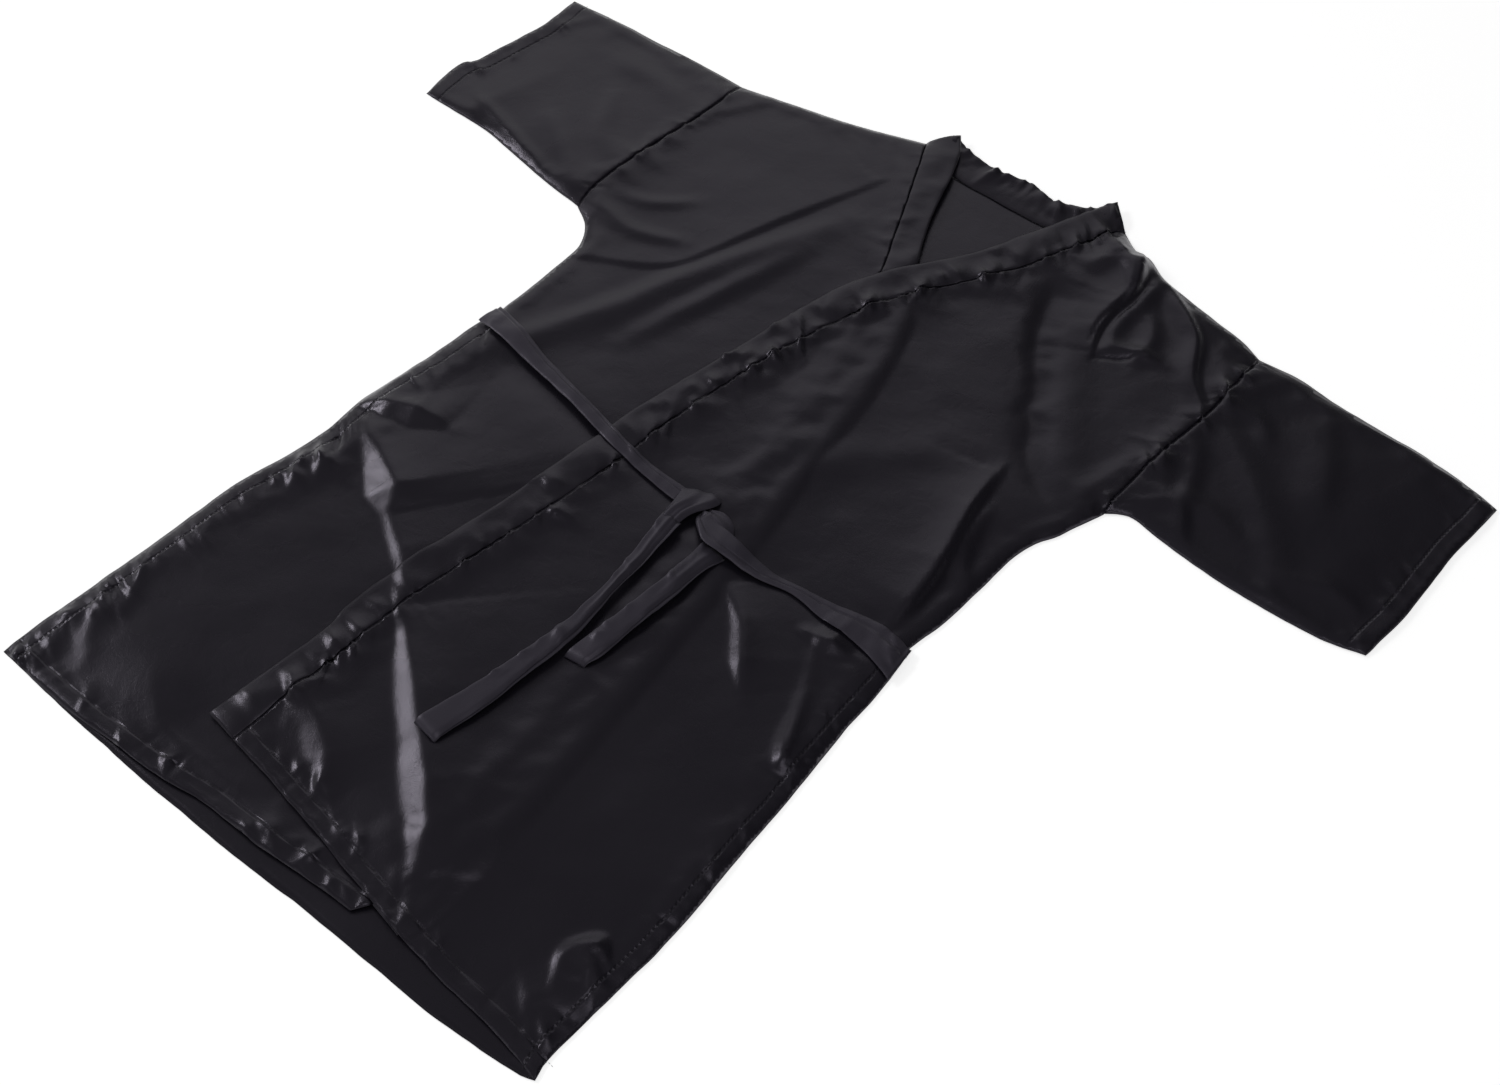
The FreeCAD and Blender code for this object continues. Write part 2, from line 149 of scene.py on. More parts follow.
class Line:
    """A smooth line on the floor plan that other places are measured from."""

    def __init__(self, *runs: Points, step: float = 0.008,
                 drawn: Optional[np.ndarray] = None) -> None:
        """Join runs end to end.

        Args:
            runs: lists of points in millimetres, each drawn as a smooth curve.
            step: distance between the line's own points, in metres.
            drawn: the line's points in metres, where they are known already.
        """
        parts = [smooth_path(run, step) for run in runs] if drawn is None else [drawn]
        self.points = np.vstack([parts[0]] + [part[1:] for part in parts[1:]])
        self.spans = np.diff(self.points, axis=0)
        self.lengths = np.linalg.norm(self.spans, axis=1)
        self.starts = np.r_[0, np.cumsum(self.lengths)]

    @property
    def length(self) -> float:
        """Length of the line in metres."""
        return float(self.starts[-1])

    def locate(self, places: np.ndarray) -> tuple[np.ndarray, np.ndarray]:
        """Measure places from the line.

        Args:
            places: points on the floor plan in metres.

        Returns:
            How far along the line the nearest point is, and the distance from it, positive to
            the left of the line's way.
        """
        along, across = np.zeros(len(places)), np.zeros(len(places))
        for rows in np.array_split(np.arange(len(places)), len(places) // 3000 + 1):
            offset = places[rows, None, :] - self.points[None, :-1, :]
            share = np.clip((offset * self.spans).sum(-1) / self.lengths ** 2, 0, 1)
            away = offset - share[..., None] * self.spans
            distance = np.hypot(away[..., 0], away[..., 1])
            nearest = distance.argmin(1)
            pick = (np.arange(len(rows)), nearest)
            turn = (self.spans[nearest, 0] * offset[pick][:, 1]
                    - self.spans[nearest, 1] * offset[pick][:, 0])
            along[rows] = self.starts[nearest] + share[pick] * self.lengths[nearest]
            across[rows] = np.where(turn < 0, -1, 1) * distance[pick]
        return along, across


def nearest(lines: Sequence[Line], places: np.ndarray) -> np.ndarray:
    """Distance in metres from each place to the nearest of several lines."""
    return np.min([np.abs(line.locate(places)[1]) for line in lines], axis=0)


def ease(value: np.ndarray, low: float, high: float) -> np.ndarray:
    """Smooth step.

    Args:
        value: numbers to grade.
        low: where the step starts, at 0.
        high: where it ends, at 1.

    Returns:
        Shares from 0 to 1.
    """
    share = np.clip((value - low) / (high - low), 0, 1)
    return share * share * (3 - 2 * share)


# --- how the cloth lies -------------------------------------------------------------------------
class Relief(Protocol):
    """Anything that raises or lowers the cloth."""

    def rise(self, places: np.ndarray) -> np.ndarray:
        """Height that it adds at each place, in metres."""


class Ridge(Enum):
    """Cross-section of a fold."""

    ROUND = 2.0
    SHARP = 1.25


@dataclass(frozen=True)
class Fold:
    """A fold that stands up from the cloth along a line, or a groove where its height is below 0.

    Height, and reach to either side, are in millimetres. Lean widens the left side of the line and
    narrows the right one, as a share of the reach.
    """

    path: tuple[tuple[float, float], ...]
    height: float
    reach: float
    lean: float = 0.0
    ridge: Ridge = Ridge.ROUND

    def rise(self, places: np.ndarray) -> np.ndarray:
        """Height of the fold above the cloth around it.

        Args:
            places: points on the floor plan, in metres.

        Returns:
            Heights in metres.
        """
        line = Line(self.path, step=0.006)
        along, across = line.locate(places)
        share = along / line.length
        reach = self.reach * MM * (1 + self.lean * np.sign(across))
        shape = np.exp(-2 * (np.abs(across) / reach) ** self.ridge.value)
        swell = np.sqrt(np.clip(np.sin(math.pi * np.clip(share, 0.02, 0.98)), 0, 1))
        return self.height * MM * shape * swell


@dataclass(frozen=True)
class Flank:
    """The side of a fold: flat cloth that climbs to a crest and falls gently behind it.

    The climb's width at each point of the path, the length of the fall behind the crest and the
    rounding of both bends are in millimetres, and end_fade is in metres.
    """

    path: tuple[tuple[float, float], ...]
    widths: tuple[float, ...]
    faces_right: bool = True
    slope: float = 0.3
    behind: float = 45.0
    soft: float = 1.2
    end_fade: float = 0.012

    def rise(self, places: np.ndarray) -> np.ndarray:
        """Height of the fold above the cloth around it.

        Args:
            places: points on the floor plan, in metres.

        Returns:
            Heights in metres.
        """
        line = Line(self.path, step=0.004)
        along, across = line.locate(places)
        marks = [line.locate(mm([point]))[0][0] for point in self.path]
        width = np.interp(along, marks, np.array(self.widths) * MM)
        beyond = np.linalg.norm(places - line.points[0], axis=1)
        beyond = np.minimum(beyond, np.linalg.norm(places - line.points[-1], axis=1))
        d = across if self.faces_right else -across
        soft = self.soft * MM
        climb = soft * (np.logaddexp(0, (d + width / 2) / soft)
                        - np.logaddexp(0, (d - width / 2) / soft))
        fall = np.exp(-np.maximum(d - width / 2, 0) / (self.behind * MM))
        at_end = (along < 1e-6) | (along > line.length - 1e-6)
        fade = np.where(at_end, np.exp(-(beyond / self.end_fade) ** 2), 1.0)
        return self.slope * climb * fall * fade


@dataclass(frozen=True)
class Puckers:
    """Short wrinkles that a line of stitches draws up across itself.

    The gap between them, their depth, reach and widths are in millimetres. Clusters is the share
    of the depth that comes and goes along the line.
    """

    line: Line
    seed: int
    gap: float = 9.0
    depth: float = 0.9
    reach: float = 9.0
    clusters: float = 0.6
    slant: float = 0.0
    narrowest: float = 1.8
    widest: float = 4.2

    def rise(self, places: np.ndarray) -> np.ndarray:
        """Height of the wrinkles, up and down.

        Args:
            places: points on the floor plan, in metres.

        Returns:
            Heights in metres.
        """
        rng = np.random.default_rng(self.seed)
        count = int(self.line.length / (self.gap * MM))
        centres = np.sort(rng.uniform(0, self.line.length, count))
        widths = rng.uniform(self.narrowest, self.widest, count) * MM
        reaches = rng.uniform(0.5, 1.6, count) * self.reach * MM
        depths = rng.normal(0, 1, count) * self.depth * MM
        crowd = np.sin(centres / self.line.length * 37 + self.seed) * 0.5 + 0.5
        depths *= (1 - self.clusters) + self.clusters * 2 * crowd ** 2
        slants = rng.normal(self.slant, 0.4, count)
        along, across = self.line.locate(places)
        near = np.abs(across) < 4 * self.reach * MM
        total = np.zeros(len(places))
        if near.any():
            u, d = along[near, None], across[near, None]
            bumps = np.exp(-((u - centres - slants * d) / widths) ** 2 - np.abs(d) / reaches)
            total[near] = (depths * bumps).sum(1)
        return total


@dataclass(frozen=True)
class Nicks:
    """Small sharp folds scattered along a seam, each steep towards the lower left of the gown.

    Width, reach and scatter are in millimetres, and the crests' bearing is in degrees.
    """

    line: Line
    seed: int
    count: int
    slope: float = 0.45
    width: float = 4.0
    reach: float = 9.0
    scatter: float = 5.0
    bearing: float = 142.0

    def rise(self, places: np.ndarray) -> np.ndarray:
        """Height of the small folds.

        Args:
            places: points on the floor plan, in metres.

        Returns:
            Heights in metres.
        """
        rng = np.random.default_rng(self.seed)
        total = np.zeros(len(places))
        for at in np.sort(rng.uniform(0.01, 0.99, self.count)) * self.line.length:
            centre = np.array([np.interp(at, self.line.starts, self.line.points[:, axis])
                               for axis in (0, 1)]) + rng.normal(0, self.scatter * MM / 2, 2)
            angle = math.radians(self.bearing) + rng.normal(0, 0.35)
            crest = np.array([math.cos(angle), math.sin(angle)])
            steep = np.array([-crest[1], crest[0]])
            width = self.width * MM * rng.uniform(0.6, 1.5)
            reach = self.reach * MM * rng.uniform(0.5, 1.4)
            slope = self.slope * rng.uniform(0.6, 1.3)
            offset = places - centre
            near = np.abs(offset).max(1) < 3 * reach
            if not near.any():
                continue
            e, d = offset[near] @ crest, -(offset[near] @ steep)
            climb = np.clip(d / width + 0.5, 0, 1)
            climb = climb * np.exp(-np.maximum(d / width - 0.5, 0) / 1.6)
            total[near] += slope * width * climb * np.exp(-(e / reach) ** 2)
        return total


@dataclass(frozen=True)
class Ripples:
    """Wide, shallow waves that run through the cloth, with sizes in millimetres."""

    seed: int
    height: float
    longest: float
    shortest: float
    count: int = 14

    def rise(self, places: np.ndarray) -> np.ndarray:
        """Height of the waves.

        Args:
            places: points on the floor plan, in metres.

        Returns:
            Heights in metres.
        """
        rng = np.random.default_rng(self.seed)
        total = np.zeros(len(places))
        for _ in range(self.count):
            length = math.exp(rng.uniform(math.log(self.shortest), math.log(self.longest))) * MM
            angle, phase = rng.uniform(0, 2 * math.pi, 2)
            way = np.array([math.cos(angle), math.sin(angle)]) * 2 * math.pi / length
            total += np.sin(places @ way + phase) * (length / (self.longest * MM)) ** 1.2
        return total * self.height * MM / math.sqrt(self.count)


SEAM_LINES = {
    "left_band": Line(BAND_SEAM_LEFT),
    "right_band": Line(BAND_SEAM_RIGHT),
    "nape": Line(NAPE_SEAM),
}


def leftward(points: np.ndarray) -> np.ndarray:
    """Find which way is left along a path.

    Args:
        points: the path's points.

    Returns:
        A vector of length 1 for each point.
    """
    ahead = np.gradient(points, axis=0)
    ahead /= np.linalg.norm(ahead, axis=1)[:, None]
    return np.column_stack([-ahead[:, 1], ahead[:, 0]])


def inside(path: Points, inset: float) -> list[tuple[float, float]]:
    """A line beside a path.

    Args:
        path: points in millimetres.
        inset: distance to the left of the path's way, in millimetres.

    Returns:
        The new line's points in millimetres.
    """
    points = np.array(path, float)
    return [tuple(point) for point in points + inset * leftward(points)]


def shared_reliefs() -> list[Relief]:
    """List the folds and wrinkles that both fronts and the sleeves show.

    Returns:
        The reliefs, in millimetres on the floor plan.
    """
    return [
        # waves of the cloth itself
        Ripples(seed=4, height=1.1, longest=380, shortest=90),
        Ripples(seed=9, height=0.26, longest=80, shortest=26),
        # the long streak from the right side down to the left hem, with its branches
        Flank(((-256, -151), (-219, -171), (-176, -196), (-156, -211), (-122, -231),
               (-97, -250), (-80, -271), (-59, -285), (-31, -308), (12, -343), (54, -377),
               (88, -407), (107, -431)),
              (2, 19, 30, 8, 11, 8, 8, 13, 17, 19, 23, 15, 3), slope=0.36, behind=60, soft=1.4),
        Flank(((-268, -139), (-243, -130), (-216, -122), (-199, -115), (-186, -112)),
              (2, 14, 19, 11, 1), slope=0.5, behind=30),
        Flank(((-257, -221), (-232, -214), (-206, -208)), (1, 9, 2), slope=0.2),
        # folds that fan out from the waist to the right shoulder
        Fold(((-240, -32), (-186, 79), (-152, 176), (-92, 318)), 4.4, 22, -0.2),
        Flank(((-252, 118), (-181, 160), (-149, 242), (-133, 294), (-105, 376)),
              (2, 4, 5, 5, 2), slope=0.5, behind=34, soft=0.8),
        Fold(((-146, 63), (-121, 168), (-96, 262)), 3.0, 16),
        # short folds at the right underarm
        Fold(((-296, 186), (-240, 176), (-188, 196)), 2.6, 12),
        Fold(((-292, 205), (-250, 215), (-214, 248)), 1.8, 12),
        # puckers that the stitches draw up
        Puckers(Line(inside(SEWN_SIDE_RIGHT, -18)), 21, gap=7.5, depth=1.5, reach=10,
                slant=0.7),
        Puckers(Line(inside(SEWN_SIDE_LEFT, FELL_LEFT)), 22, gap=9, depth=0.8, reach=7),
        Puckers(Line(ARMHOLE_RIGHT), 23, gap=12, depth=0.6, reach=8),
        Puckers(Line(ARMHOLE_LEFT), 24, gap=9, depth=1.0, reach=10, slant=-0.5),
        Puckers(Line(inside(CUFF_RIGHT, CUFF_DEPTH)), 25, gap=9, depth=0.4, reach=7, slant=0.5),
        Puckers(Line(inside(CUFF_LEFT, -CUFF_DEPTH)), 26, gap=9, depth=0.4, reach=7),
        # folds of both sleeves beside the underarms
        Fold(((-490, 222), (-429, 205), (-361, 186)), 2.6, 8),
        Fold(((-420, 250), (-380, 225), (-330, 190)), 1.8, 12),
        Fold(((302, 206), (330, 224), (354, 196)), 2.4, 10),
        Fold(((302, 300), (322, 262), (340, 215)), 2.2, 12),
        Fold(((300, 345), (330, 352), (352, 330)), 2.0, 12),
        # the hollow that the tied waist draws in, and the grooves of the armhole seams
        Fold(((-262, -12), (0, -38), (262, -50)), -1.6, 20),
        Fold(tuple(ARMHOLE_RIGHT), -1.3, 2.6),
        Fold(tuple(ARMHOLE_LEFT), -1.0, 2.4),
        # wide folds across the sleeves
        Fold(((300, 334), (352, 296), (410, 240), (440, 200)), 2.6, 20, 0.3),
        Fold(((304, 226), (346, 238), (392, 226)), 2.0, 14),
        Fold(((372, 396), (404, 340), (424, 292)), 2.2, 24, -0.3),
        Fold(((430, 214), (470, 232), (508, 226)), 1.6, 12),
        Fold(((-312, 330), (-362, 352), (-430, 350)), 1.8, 20),
        Fold(((-316, 236), (-356, 262), (-392, 318)), 2.0, 16),
        # nicks at the sides, armholes and cuffs
        Nicks(Line(inside(SIDE_RIGHT[:6], -20)), 91, 20, scatter=12.0, slope=0.42, reach=13.0),
        Nicks(Line(inside(SIDE_RIGHT[:3], -8)), 92, 12, scatter=6.0, slope=0.42),
        Nicks(Line(inside(SEWN_SIDE_LEFT, FELL_LEFT)), 93, 14, slope=0.4, width=3.5),
        Nicks(Line(ARMHOLE_LEFT), 94, 9, slope=0.6, reach=12.0),
        Nicks(Line(ARMHOLE_RIGHT), 95, 5, slope=0.5),
        Nicks(Line(inside(CUFF_RIGHT, CUFF_DEPTH)), 96, 6, slope=0.4, width=3.0),
        Nicks(Line(inside(CUFF_LEFT, -CUFF_DEPTH)), 97, 7, slope=0.4, width=3.0),
    ]


def left_reliefs() -> list[Relief]:
    """List the folds and wrinkles of the left front alone.

    Returns:
        The reliefs, in millimetres on the floor plan.
    """
    return [
        # the shoulder: cloth that drops into a slit, with lit folds beside the neck
        Flank(((140, 462), (151, 447), (164, 413), (163, 379), (166, 352), (176, 326)),
              (1, 6, 6, 5, 4, 1), faces_right=False, slope=1.5, behind=20, soft=0.6),
        Flank(((104, 450), (122, 441), (140, 430), (152, 415)), (4, 12, 12, 4), slope=0.62,
              behind=18),
        Fold(((108, 474), (118, 440), (112, 405)), 3.0, 16),
        # the long soft fold across the chest to the underarm
        Flank(((97, 385), (101, 363), (116, 320), (151, 260), (186, 205), (221, 169),
               (262, 152)), (2, 10, 14, 14, 12, 8, 2), faces_right=True, slope=-0.5,
              behind=36, soft=5.0),
        Fold(((136, 352), (172, 290), (212, 226), (242, 188), (272, 162)), 3.0, 24, 0.3),
        # the slit, its turned end and the ridges round it
        Fold(tuple(SHOULDER_SLIT), -3.6, 3.2, ridge=Ridge.SHARP),
        Fold(((170, 436), (174, 402), (173, 366), (184, 336)), 3.4, 9, 0.3),
        Fold(((171, 447), (204, 424), (237, 397), (261, 355), (288, 328)), 4.4, 11, -0.4),
        Fold(tuple(SLIT_END), -2.4, 3.2, ridge=Ridge.SHARP),
        Fold(((176, 330), (196, 346), (232, 352)), 3.2, 11, 0.2),
        Fold(((186, 400), (206, 372), (214, 330)), 2.4, 12),
        # the creases from the underarm down to the waist
        Flank(((200, 158), (209, 111), (227, 49), (231, 0), (231, -26)), (2, 8, 10, 7, 2),
              faces_right=False, slope=1.0, behind=22),
        Fold(((206, 128), (216, 84), (228, 40), (231, 8)), -2.6, 5, ridge=Ridge.SHARP),
        Fold(((214, 123), (222, 88), (236, 55), (250, 44)), 3.0, 10),
        Fold(((60, 40), (110, 110), (150, 150)), 1.8, 30),
        # streaks below the left tie
        Flank(((104, -83), (134, -105), (160, -135), (181, -154)), (3, 11, 11, 2), slope=0.56,
              behind=24),
        Flank(((196, -84), (211, -114), (223, -138), (234, -166), (244, -184), (256, -190)),
              (3, 4, 7, 11, 10, 2), slope=0.6, behind=14),
        Flank(((188, -78), (206, -78), (224, -74)), (6, 14, 3), slope=0.5, behind=14),
        # the hooked fold and the lit patches above the hem
        Flank(((240, -420), (231, -404), (235, -388), (248, -377), (264, -386)),
              (4, 8, 9, 13, 2), faces_right=False, slope=0.48, behind=16,
              soft=0.8),
        Fold(((238, -392), (256, -398), (272, -410)), 2.4, 9),
        Flank(((216, -432), (236, -446), (250, -462)), (1, 7, 1), slope=0.3),
        Flank(((-84, -378), (-52, -388), (-18, -409), (8, -424)), (3, 16, 18, 2), slope=0.22,
              behind=30),
        Flank(((90, -425), (104, -438), (122, -444)), (1, 9, 1), slope=0.3),
        # nips, puckers and nicks along the band and the hem
        *[Flank(path, (1, 6, 1), slope=0.4, behind=10) for path in BAND_NIPS],
        Flank(((-108, -404), (-96, -408), (-84, -412)), (2, 7, 2), slope=0.32, behind=10),
        Puckers(SEAM_LINES["left_band"], 31, gap=7, depth=0.9, reach=7, slant=0.6),
        Puckers(SEAM_LINES["left_band"], 33, gap=24, depth=1.3, reach=13, clusters=0.3,
                slant=0.6),
        Puckers(Line(inside(HEM_LEFT, HEM_DEPTH)), 32, gap=16, depth=0.7, reach=7),
        Nicks(SEAM_LINES["left_band"], 98, 34, slope=0.52, width=4.0, reach=9.0),
        Nicks(Line(inside(BAND_SEAM_LEFT[1:8], -15)), 102, 16, slope=0.85, width=3.2,
              reach=8.0, scatter=12.0),
        Nicks(Line(BAND_SEAM_LEFT[:8]), 103, 12, slope=0.85, width=3.2, reach=7.0),
        Nicks(Line(inside(BAND_SEAM_LEFT[3:], -15)), 101, 18, slope=0.5, width=3.2, reach=7.0,
              scatter=12.0),
        Nicks(Line(inside(HEM_LEFT[:6], 18)), 99, 16, slope=0.36, width=4.5, scatter=14.0),
    ]


def right_reliefs() -> list[Relief]:
    """List the wrinkles of the right front alone.

    Returns:
        The reliefs, in millimetres on the floor plan.
    """
    return [
        Puckers(Line(BAND_SEAM_RIGHT[:4]), 41, gap=10, depth=0.5, reach=7),
        Puckers(Line(inside(HEM_RIGHT, HEM_DEPTH)), 42, gap=12, depth=0.8, reach=7),
        Nicks(Line(inside(HEM_RIGHT[1:], 10)), 100, 14, slope=0.4, width=4.0, scatter=10.0),
    ]


@dataclass
class Settling:
    """Cloth simulation that lets one layer of the gown settle between its seams.

    The free cloth is a little longer than the seams that hold it, so it buckles into soft folds
    under its own weight. Only what moves up or down is kept, up to a cap in millimetres, and it is
    added to the heights that the folds were laid with.
    """

    name: str
    edges: Sequence[Points]
    held: Sequence[Line]
    ease_share: float = 0.004
    spacing: float = 0.0085
    frames: int = 22
    cap: float = 2.3
    places: np.ndarray = field(default_factory=lambda: np.zeros((0, 2)))
    change: np.ndarray = field(default_factory=lambda: np.zeros(0))
    tree: Optional[KDTree] = None

    def run(self, height: Callable[[np.ndarray], np.ndarray]) -> None:
        """Simulate the layer.

        Args:
            height: function that gives the laid height at places on the floor plan.
        """
        plan, faces = cloth_mesh(self.edges, self.spacing, [])
        start = np.column_stack([plan, height(plan)])
        cloth = mesh_object(self.name + "_settling", start, faces)
        rim = cloth.vertex_groups.new(name="held by seams")
        near = nearest(self.held, plan)
        rim.add([int(number) for number in np.flatnonzero(near < self.spacing * 0.5)], 1.0, "ADD")
        table = mesh_object("settling_table", np.array(
            [(-1, -1, 0.0), (1, -1, 0.0), (1, 1, 0.0), (-1, 1, 0.0)]), [[0, 1, 2, 3]])
        table.modifiers.new("collision", "COLLISION")
        table.collision.thickness_outer = 0.001
        modifier = cloth.modifiers.new("satin", "CLOTH")
        satin = modifier.settings
        satin.quality, satin.mass, satin.air_damping = 6, 0.1, 2.0
        satin.tension_stiffness = satin.compression_stiffness = 20.0
        satin.shear_stiffness, satin.bending_stiffness = 6.0, 0.25
        satin.vertex_group_mass, satin.pin_stiffness = "held by seams", 1.0
        satin.shrink_min = -self.ease_share
        satin.effector_weights.gravity = 0.25
        modifier.collision_settings.distance_min = 0.001
        modifier.collision_settings.use_self_collision = False
        modifier.point_cache.frame_end = self.frames + 1
        scene = bpy.context.scene
        for number in range(1, self.frames + 1):
            scene.frame_set(number)
        made = cloth.evaluated_get(bpy.context.evaluated_depsgraph_get())
        moved = np.empty(len(plan) * 3)
        made.data.vertices.foreach_get("co", moved)
        moved = moved.reshape(-1, 3)
        self.places = plan
        self.change = self.cap * MM * np.tanh((moved[:, 2] - start[:, 2]) / (self.cap * MM))
        for piece in (cloth, table):
            discard(piece)
        scene.frame_set(1)
        self.tree = KDTree(len(plan))
        for number, place in enumerate(plan):
            self.tree.insert((place[0], place[1], 0.0), number)
        self.tree.balance()
        LOG.info("%s settled: %d points, moved %.2f mm on average and %.2f mm at most", self.name,
                 len(plan), np.abs(self.change).mean() / MM, np.abs(self.change).max() / MM)

    def rise(self, places: np.ndarray) -> np.ndarray:
        """How much higher or lower the settled cloth is.

        Args:
            places: points on the floor plan, in metres.

        Returns:
            Heights in metres.
        """
        total = np.zeros(len(places))
        if self.tree is None:
            return total
        for number, (x, y) in enumerate(places):
            weight = value = 0.0
            for _, index, away in self.tree.find_n((x, y, 0.0), 6):
                share = math.exp(-(away / self.spacing / 0.75) ** 2) + 1e-9
                weight += share
                value += share * self.change[index]
            total[number] = value / weight
        return total


@dataclass
class Lie:
    """How high every layer of the spread gown lies at each place.

    Heights, and the roll of a shut edge, are in millimetres. Distances on the floor plan are in
    metres.
    """

    loft: float = 6.5
    roll: float = 15.0
    layer: float = 1.3
    lap: float = 2.2
    lap_start: float = -0.01
    lap_end: float = 0.05
    open_share: float = 0.42
    open_reach: float = 0.07
    hem_rise: float = 0.3
    hem_start: float = 0.012
    hem_end: float = 0.018
    hem_turn: float = 0.8
    hem_roll: float = 0.0012
    over_gap: float = 2.1
    over_drop: float = 8.0
    over_reach: float = 0.04
    shut_edges: list[Line] = field(default_factory=list)
    open_edges: list[Line] = field(default_factory=list)
    shared: Sequence[Relief] = field(default_factory=shared_reliefs)
    left_only: Sequence[Relief] = field(default_factory=left_reliefs)
    right_only: Sequence[Relief] = field(default_factory=right_reliefs)
    settled: dict[bool, Settling] = field(default_factory=dict)

    def __post_init__(self) -> None:
        """Set out the edges of this gown."""
        self.shut_edges = [
            Line(SIDE_RIGHT, UNDERARM_RIGHT), Line(SIDE_LEFT, UNDERARM_LEFT),
            Line(SHOULDER_RIGHT[::-1], SLEEVE_TOP_RIGHT),
            Line(SHOULDER_LEFT[::-1], SLEEVE_TOP_LEFT)]
        self.open_edges = [Line(HEM_RIGHT), Line(HEM_LEFT), Line(CUFF_RIGHT), Line(CUFF_LEFT)]

    def settle(self) -> None:
        """Let the right layer and then the left layer settle by cloth simulation."""
        for left, name, edges, held in (
                (False, "right", [HEM_RIGHT, BAND_EDGE_RIGHT[::-1], SHOULDER_RIGHT[::-1],
                                  SLEEVE_TOP_RIGHT, CUFF_RIGHT, UNDERARM_RIGHT[::-1],
                                  SIDE_RIGHT[::-1]],
                 [ARMHOLE_RIGHT, BAND_SEAM_RIGHT, inside(SEWN_SIDE_RIGHT, -18)]),
                (True, "left", [HEM_LEFT, SIDE_LEFT, UNDERARM_LEFT, CUFF_LEFT[::-1],
                                SLEEVE_TOP_LEFT[::-1], SHOULDER_LEFT, BAND_EDGE_LEFT],
                 [ARMHOLE_LEFT, BAND_SEAM_LEFT, inside(SEWN_SIDE_LEFT, FELL_LEFT)])):
            layer = Settling(name, edges, [Line(path) for path in [*edges, *held]])
            layer.run(lambda places, side=left: self.front(places, side))
            self.settled[left] = layer

    def rolled(self, places: np.ndarray) -> np.ndarray:
        """Share of the full loft: none where a seam holds the layers together.

        Args:
            places: points on the floor plan, in metres.

        Returns:
            Shares from 0 to 1.
        """
        share = 1 - np.exp(-nearest(self.shut_edges, places) / (self.roll * MM))
        opened = ease(nearest(self.open_edges, places), 0, self.open_reach)
        return share * (self.open_share + (1 - self.open_share) * opened)

    def front(self, places: np.ndarray, left: bool) -> np.ndarray:
        """Height of a front or of the upper layer of a sleeve.

        Args:
            places: points on the floor plan, in metres.
            left: the left front, which lies over the right one.

        Returns:
            Heights in metres.
        """
        share = self.rolled(places)
        height = self.layer * MM + self.loft * MM * share
        mask = ease(share, 0.0, 0.25)
        for relief in [*self.shared, *(self.left_only if left else self.right_only)]:
            height += relief.rise(places) * mask
        if left:
            _, beyond = Line(BAND_EDGE_RIGHT).locate(places)
            height += self.lap * MM * (1 - ease(beyond, self.lap_start, self.lap_end))
        hem = nearest(self.open_edges[1:] if left else self.open_edges[:1] + self.open_edges[2:],
                      places)
        settled = self.settled.get(left)
        if settled is not None:
            height += settled.rise(places)
        height += (self.hem_rise * (1 - ease(hem, self.hem_start, self.hem_end))
                   - self.hem_turn * np.exp(-hem / self.hem_roll)) * MM
        height = np.maximum(height, self.layer * MM)
        if left:
            clear = self.front(places, False) + self.over_gap * MM
            least = clear - self.over_drop * MM * ease(beyond, 0.0, self.over_reach)
            height = np.where(beyond < self.over_reach, np.maximum(height, least), height)
        return height

    def drift(self, piece: bpy.types.Object) -> None:
        """Move a piece's points sideways a little, as wrinkles draw the cloth's edges in.

        Args:
            piece: the piece, changed in place.
        """
        points = np.array([tuple(vert.co) for vert in piece.data.vertices])
        for axis, seed in ((0, 81), (1, 82)):
            waves = Ripples(seed=seed, height=0.55, longest=60, shortest=14, count=18)
            points[:, axis] += waves.rise(points[:, :2])
        piece.data.vertices.foreach_set("co", points.ravel())
        piece.data.update()

    def back(self, places: np.ndarray) -> np.ndarray:
        """Height of the back and of the lower layer of a sleeve.

        Args:
            places: points on the floor plan, in metres.

        Returns:
            Heights in metres.
        """
        waves = Ripples(seed=77, height=0.25, longest=160, shortest=50)
        hem = np.abs(Line(HEM_BACK).locate(places)[1])
        return (0.6 + 0.3 * (1 - ease(hem, 0.013, 0.016))) * MM + np.abs(waves.rise(places))


class Layer(Enum):
    """A layer of the spread gown."""

    BACK = "back"
    RIGHT = "right"
    LEFT = "left"

    def height(self, lie: Lie, places: np.ndarray) -> np.ndarray:
        """Height of the layer's surface at places, in metres."""
        return lie.back(places) if self is Layer.BACK else lie.front(places, self is Layer.LEFT)


# --- meshes -------------------------------------------------------------------------------------
def add_object(name: str, data: bpy.types.ID) -> bpy.types.Object:
    """Put a mesh, a light or a camera into the scene.

    Args:
        name: the object's name.
        data: what it shows.

    Returns:
        The new object, at the origin.
    """
    item = bpy.data.objects.new(name, data)
    bpy.context.scene.collection.objects.link(item)
    return item


def discard(piece: bpy.types.Object) -> None:
    """Remove an object and its mesh.

    Args:
        piece: the object, which is used up.
    """
    mesh = piece.data
    bpy.data.objects.remove(piece)
    bpy.data.meshes.remove(mesh)


def mesh_object(name: str, corners: np.ndarray, faces: Sequence[Sequence[int]]) -> bpy.types.Object:
    """Make a smooth-shaded mesh object at the origin.

    Args:
        name: the piece's name.
        corners: vertex places in metres.
        faces: corner numbers of each face.

    Returns:
        The new object.
    """
    mesh = bpy.data.meshes.new(name)
    mesh.from_pydata([tuple(corner) for corner in corners], [], [tuple(face) for face in faces])
    mesh.polygons.foreach_set("use_smooth", [True] * len(mesh.polygons))
    mesh.update()
    return add_object(name, mesh)


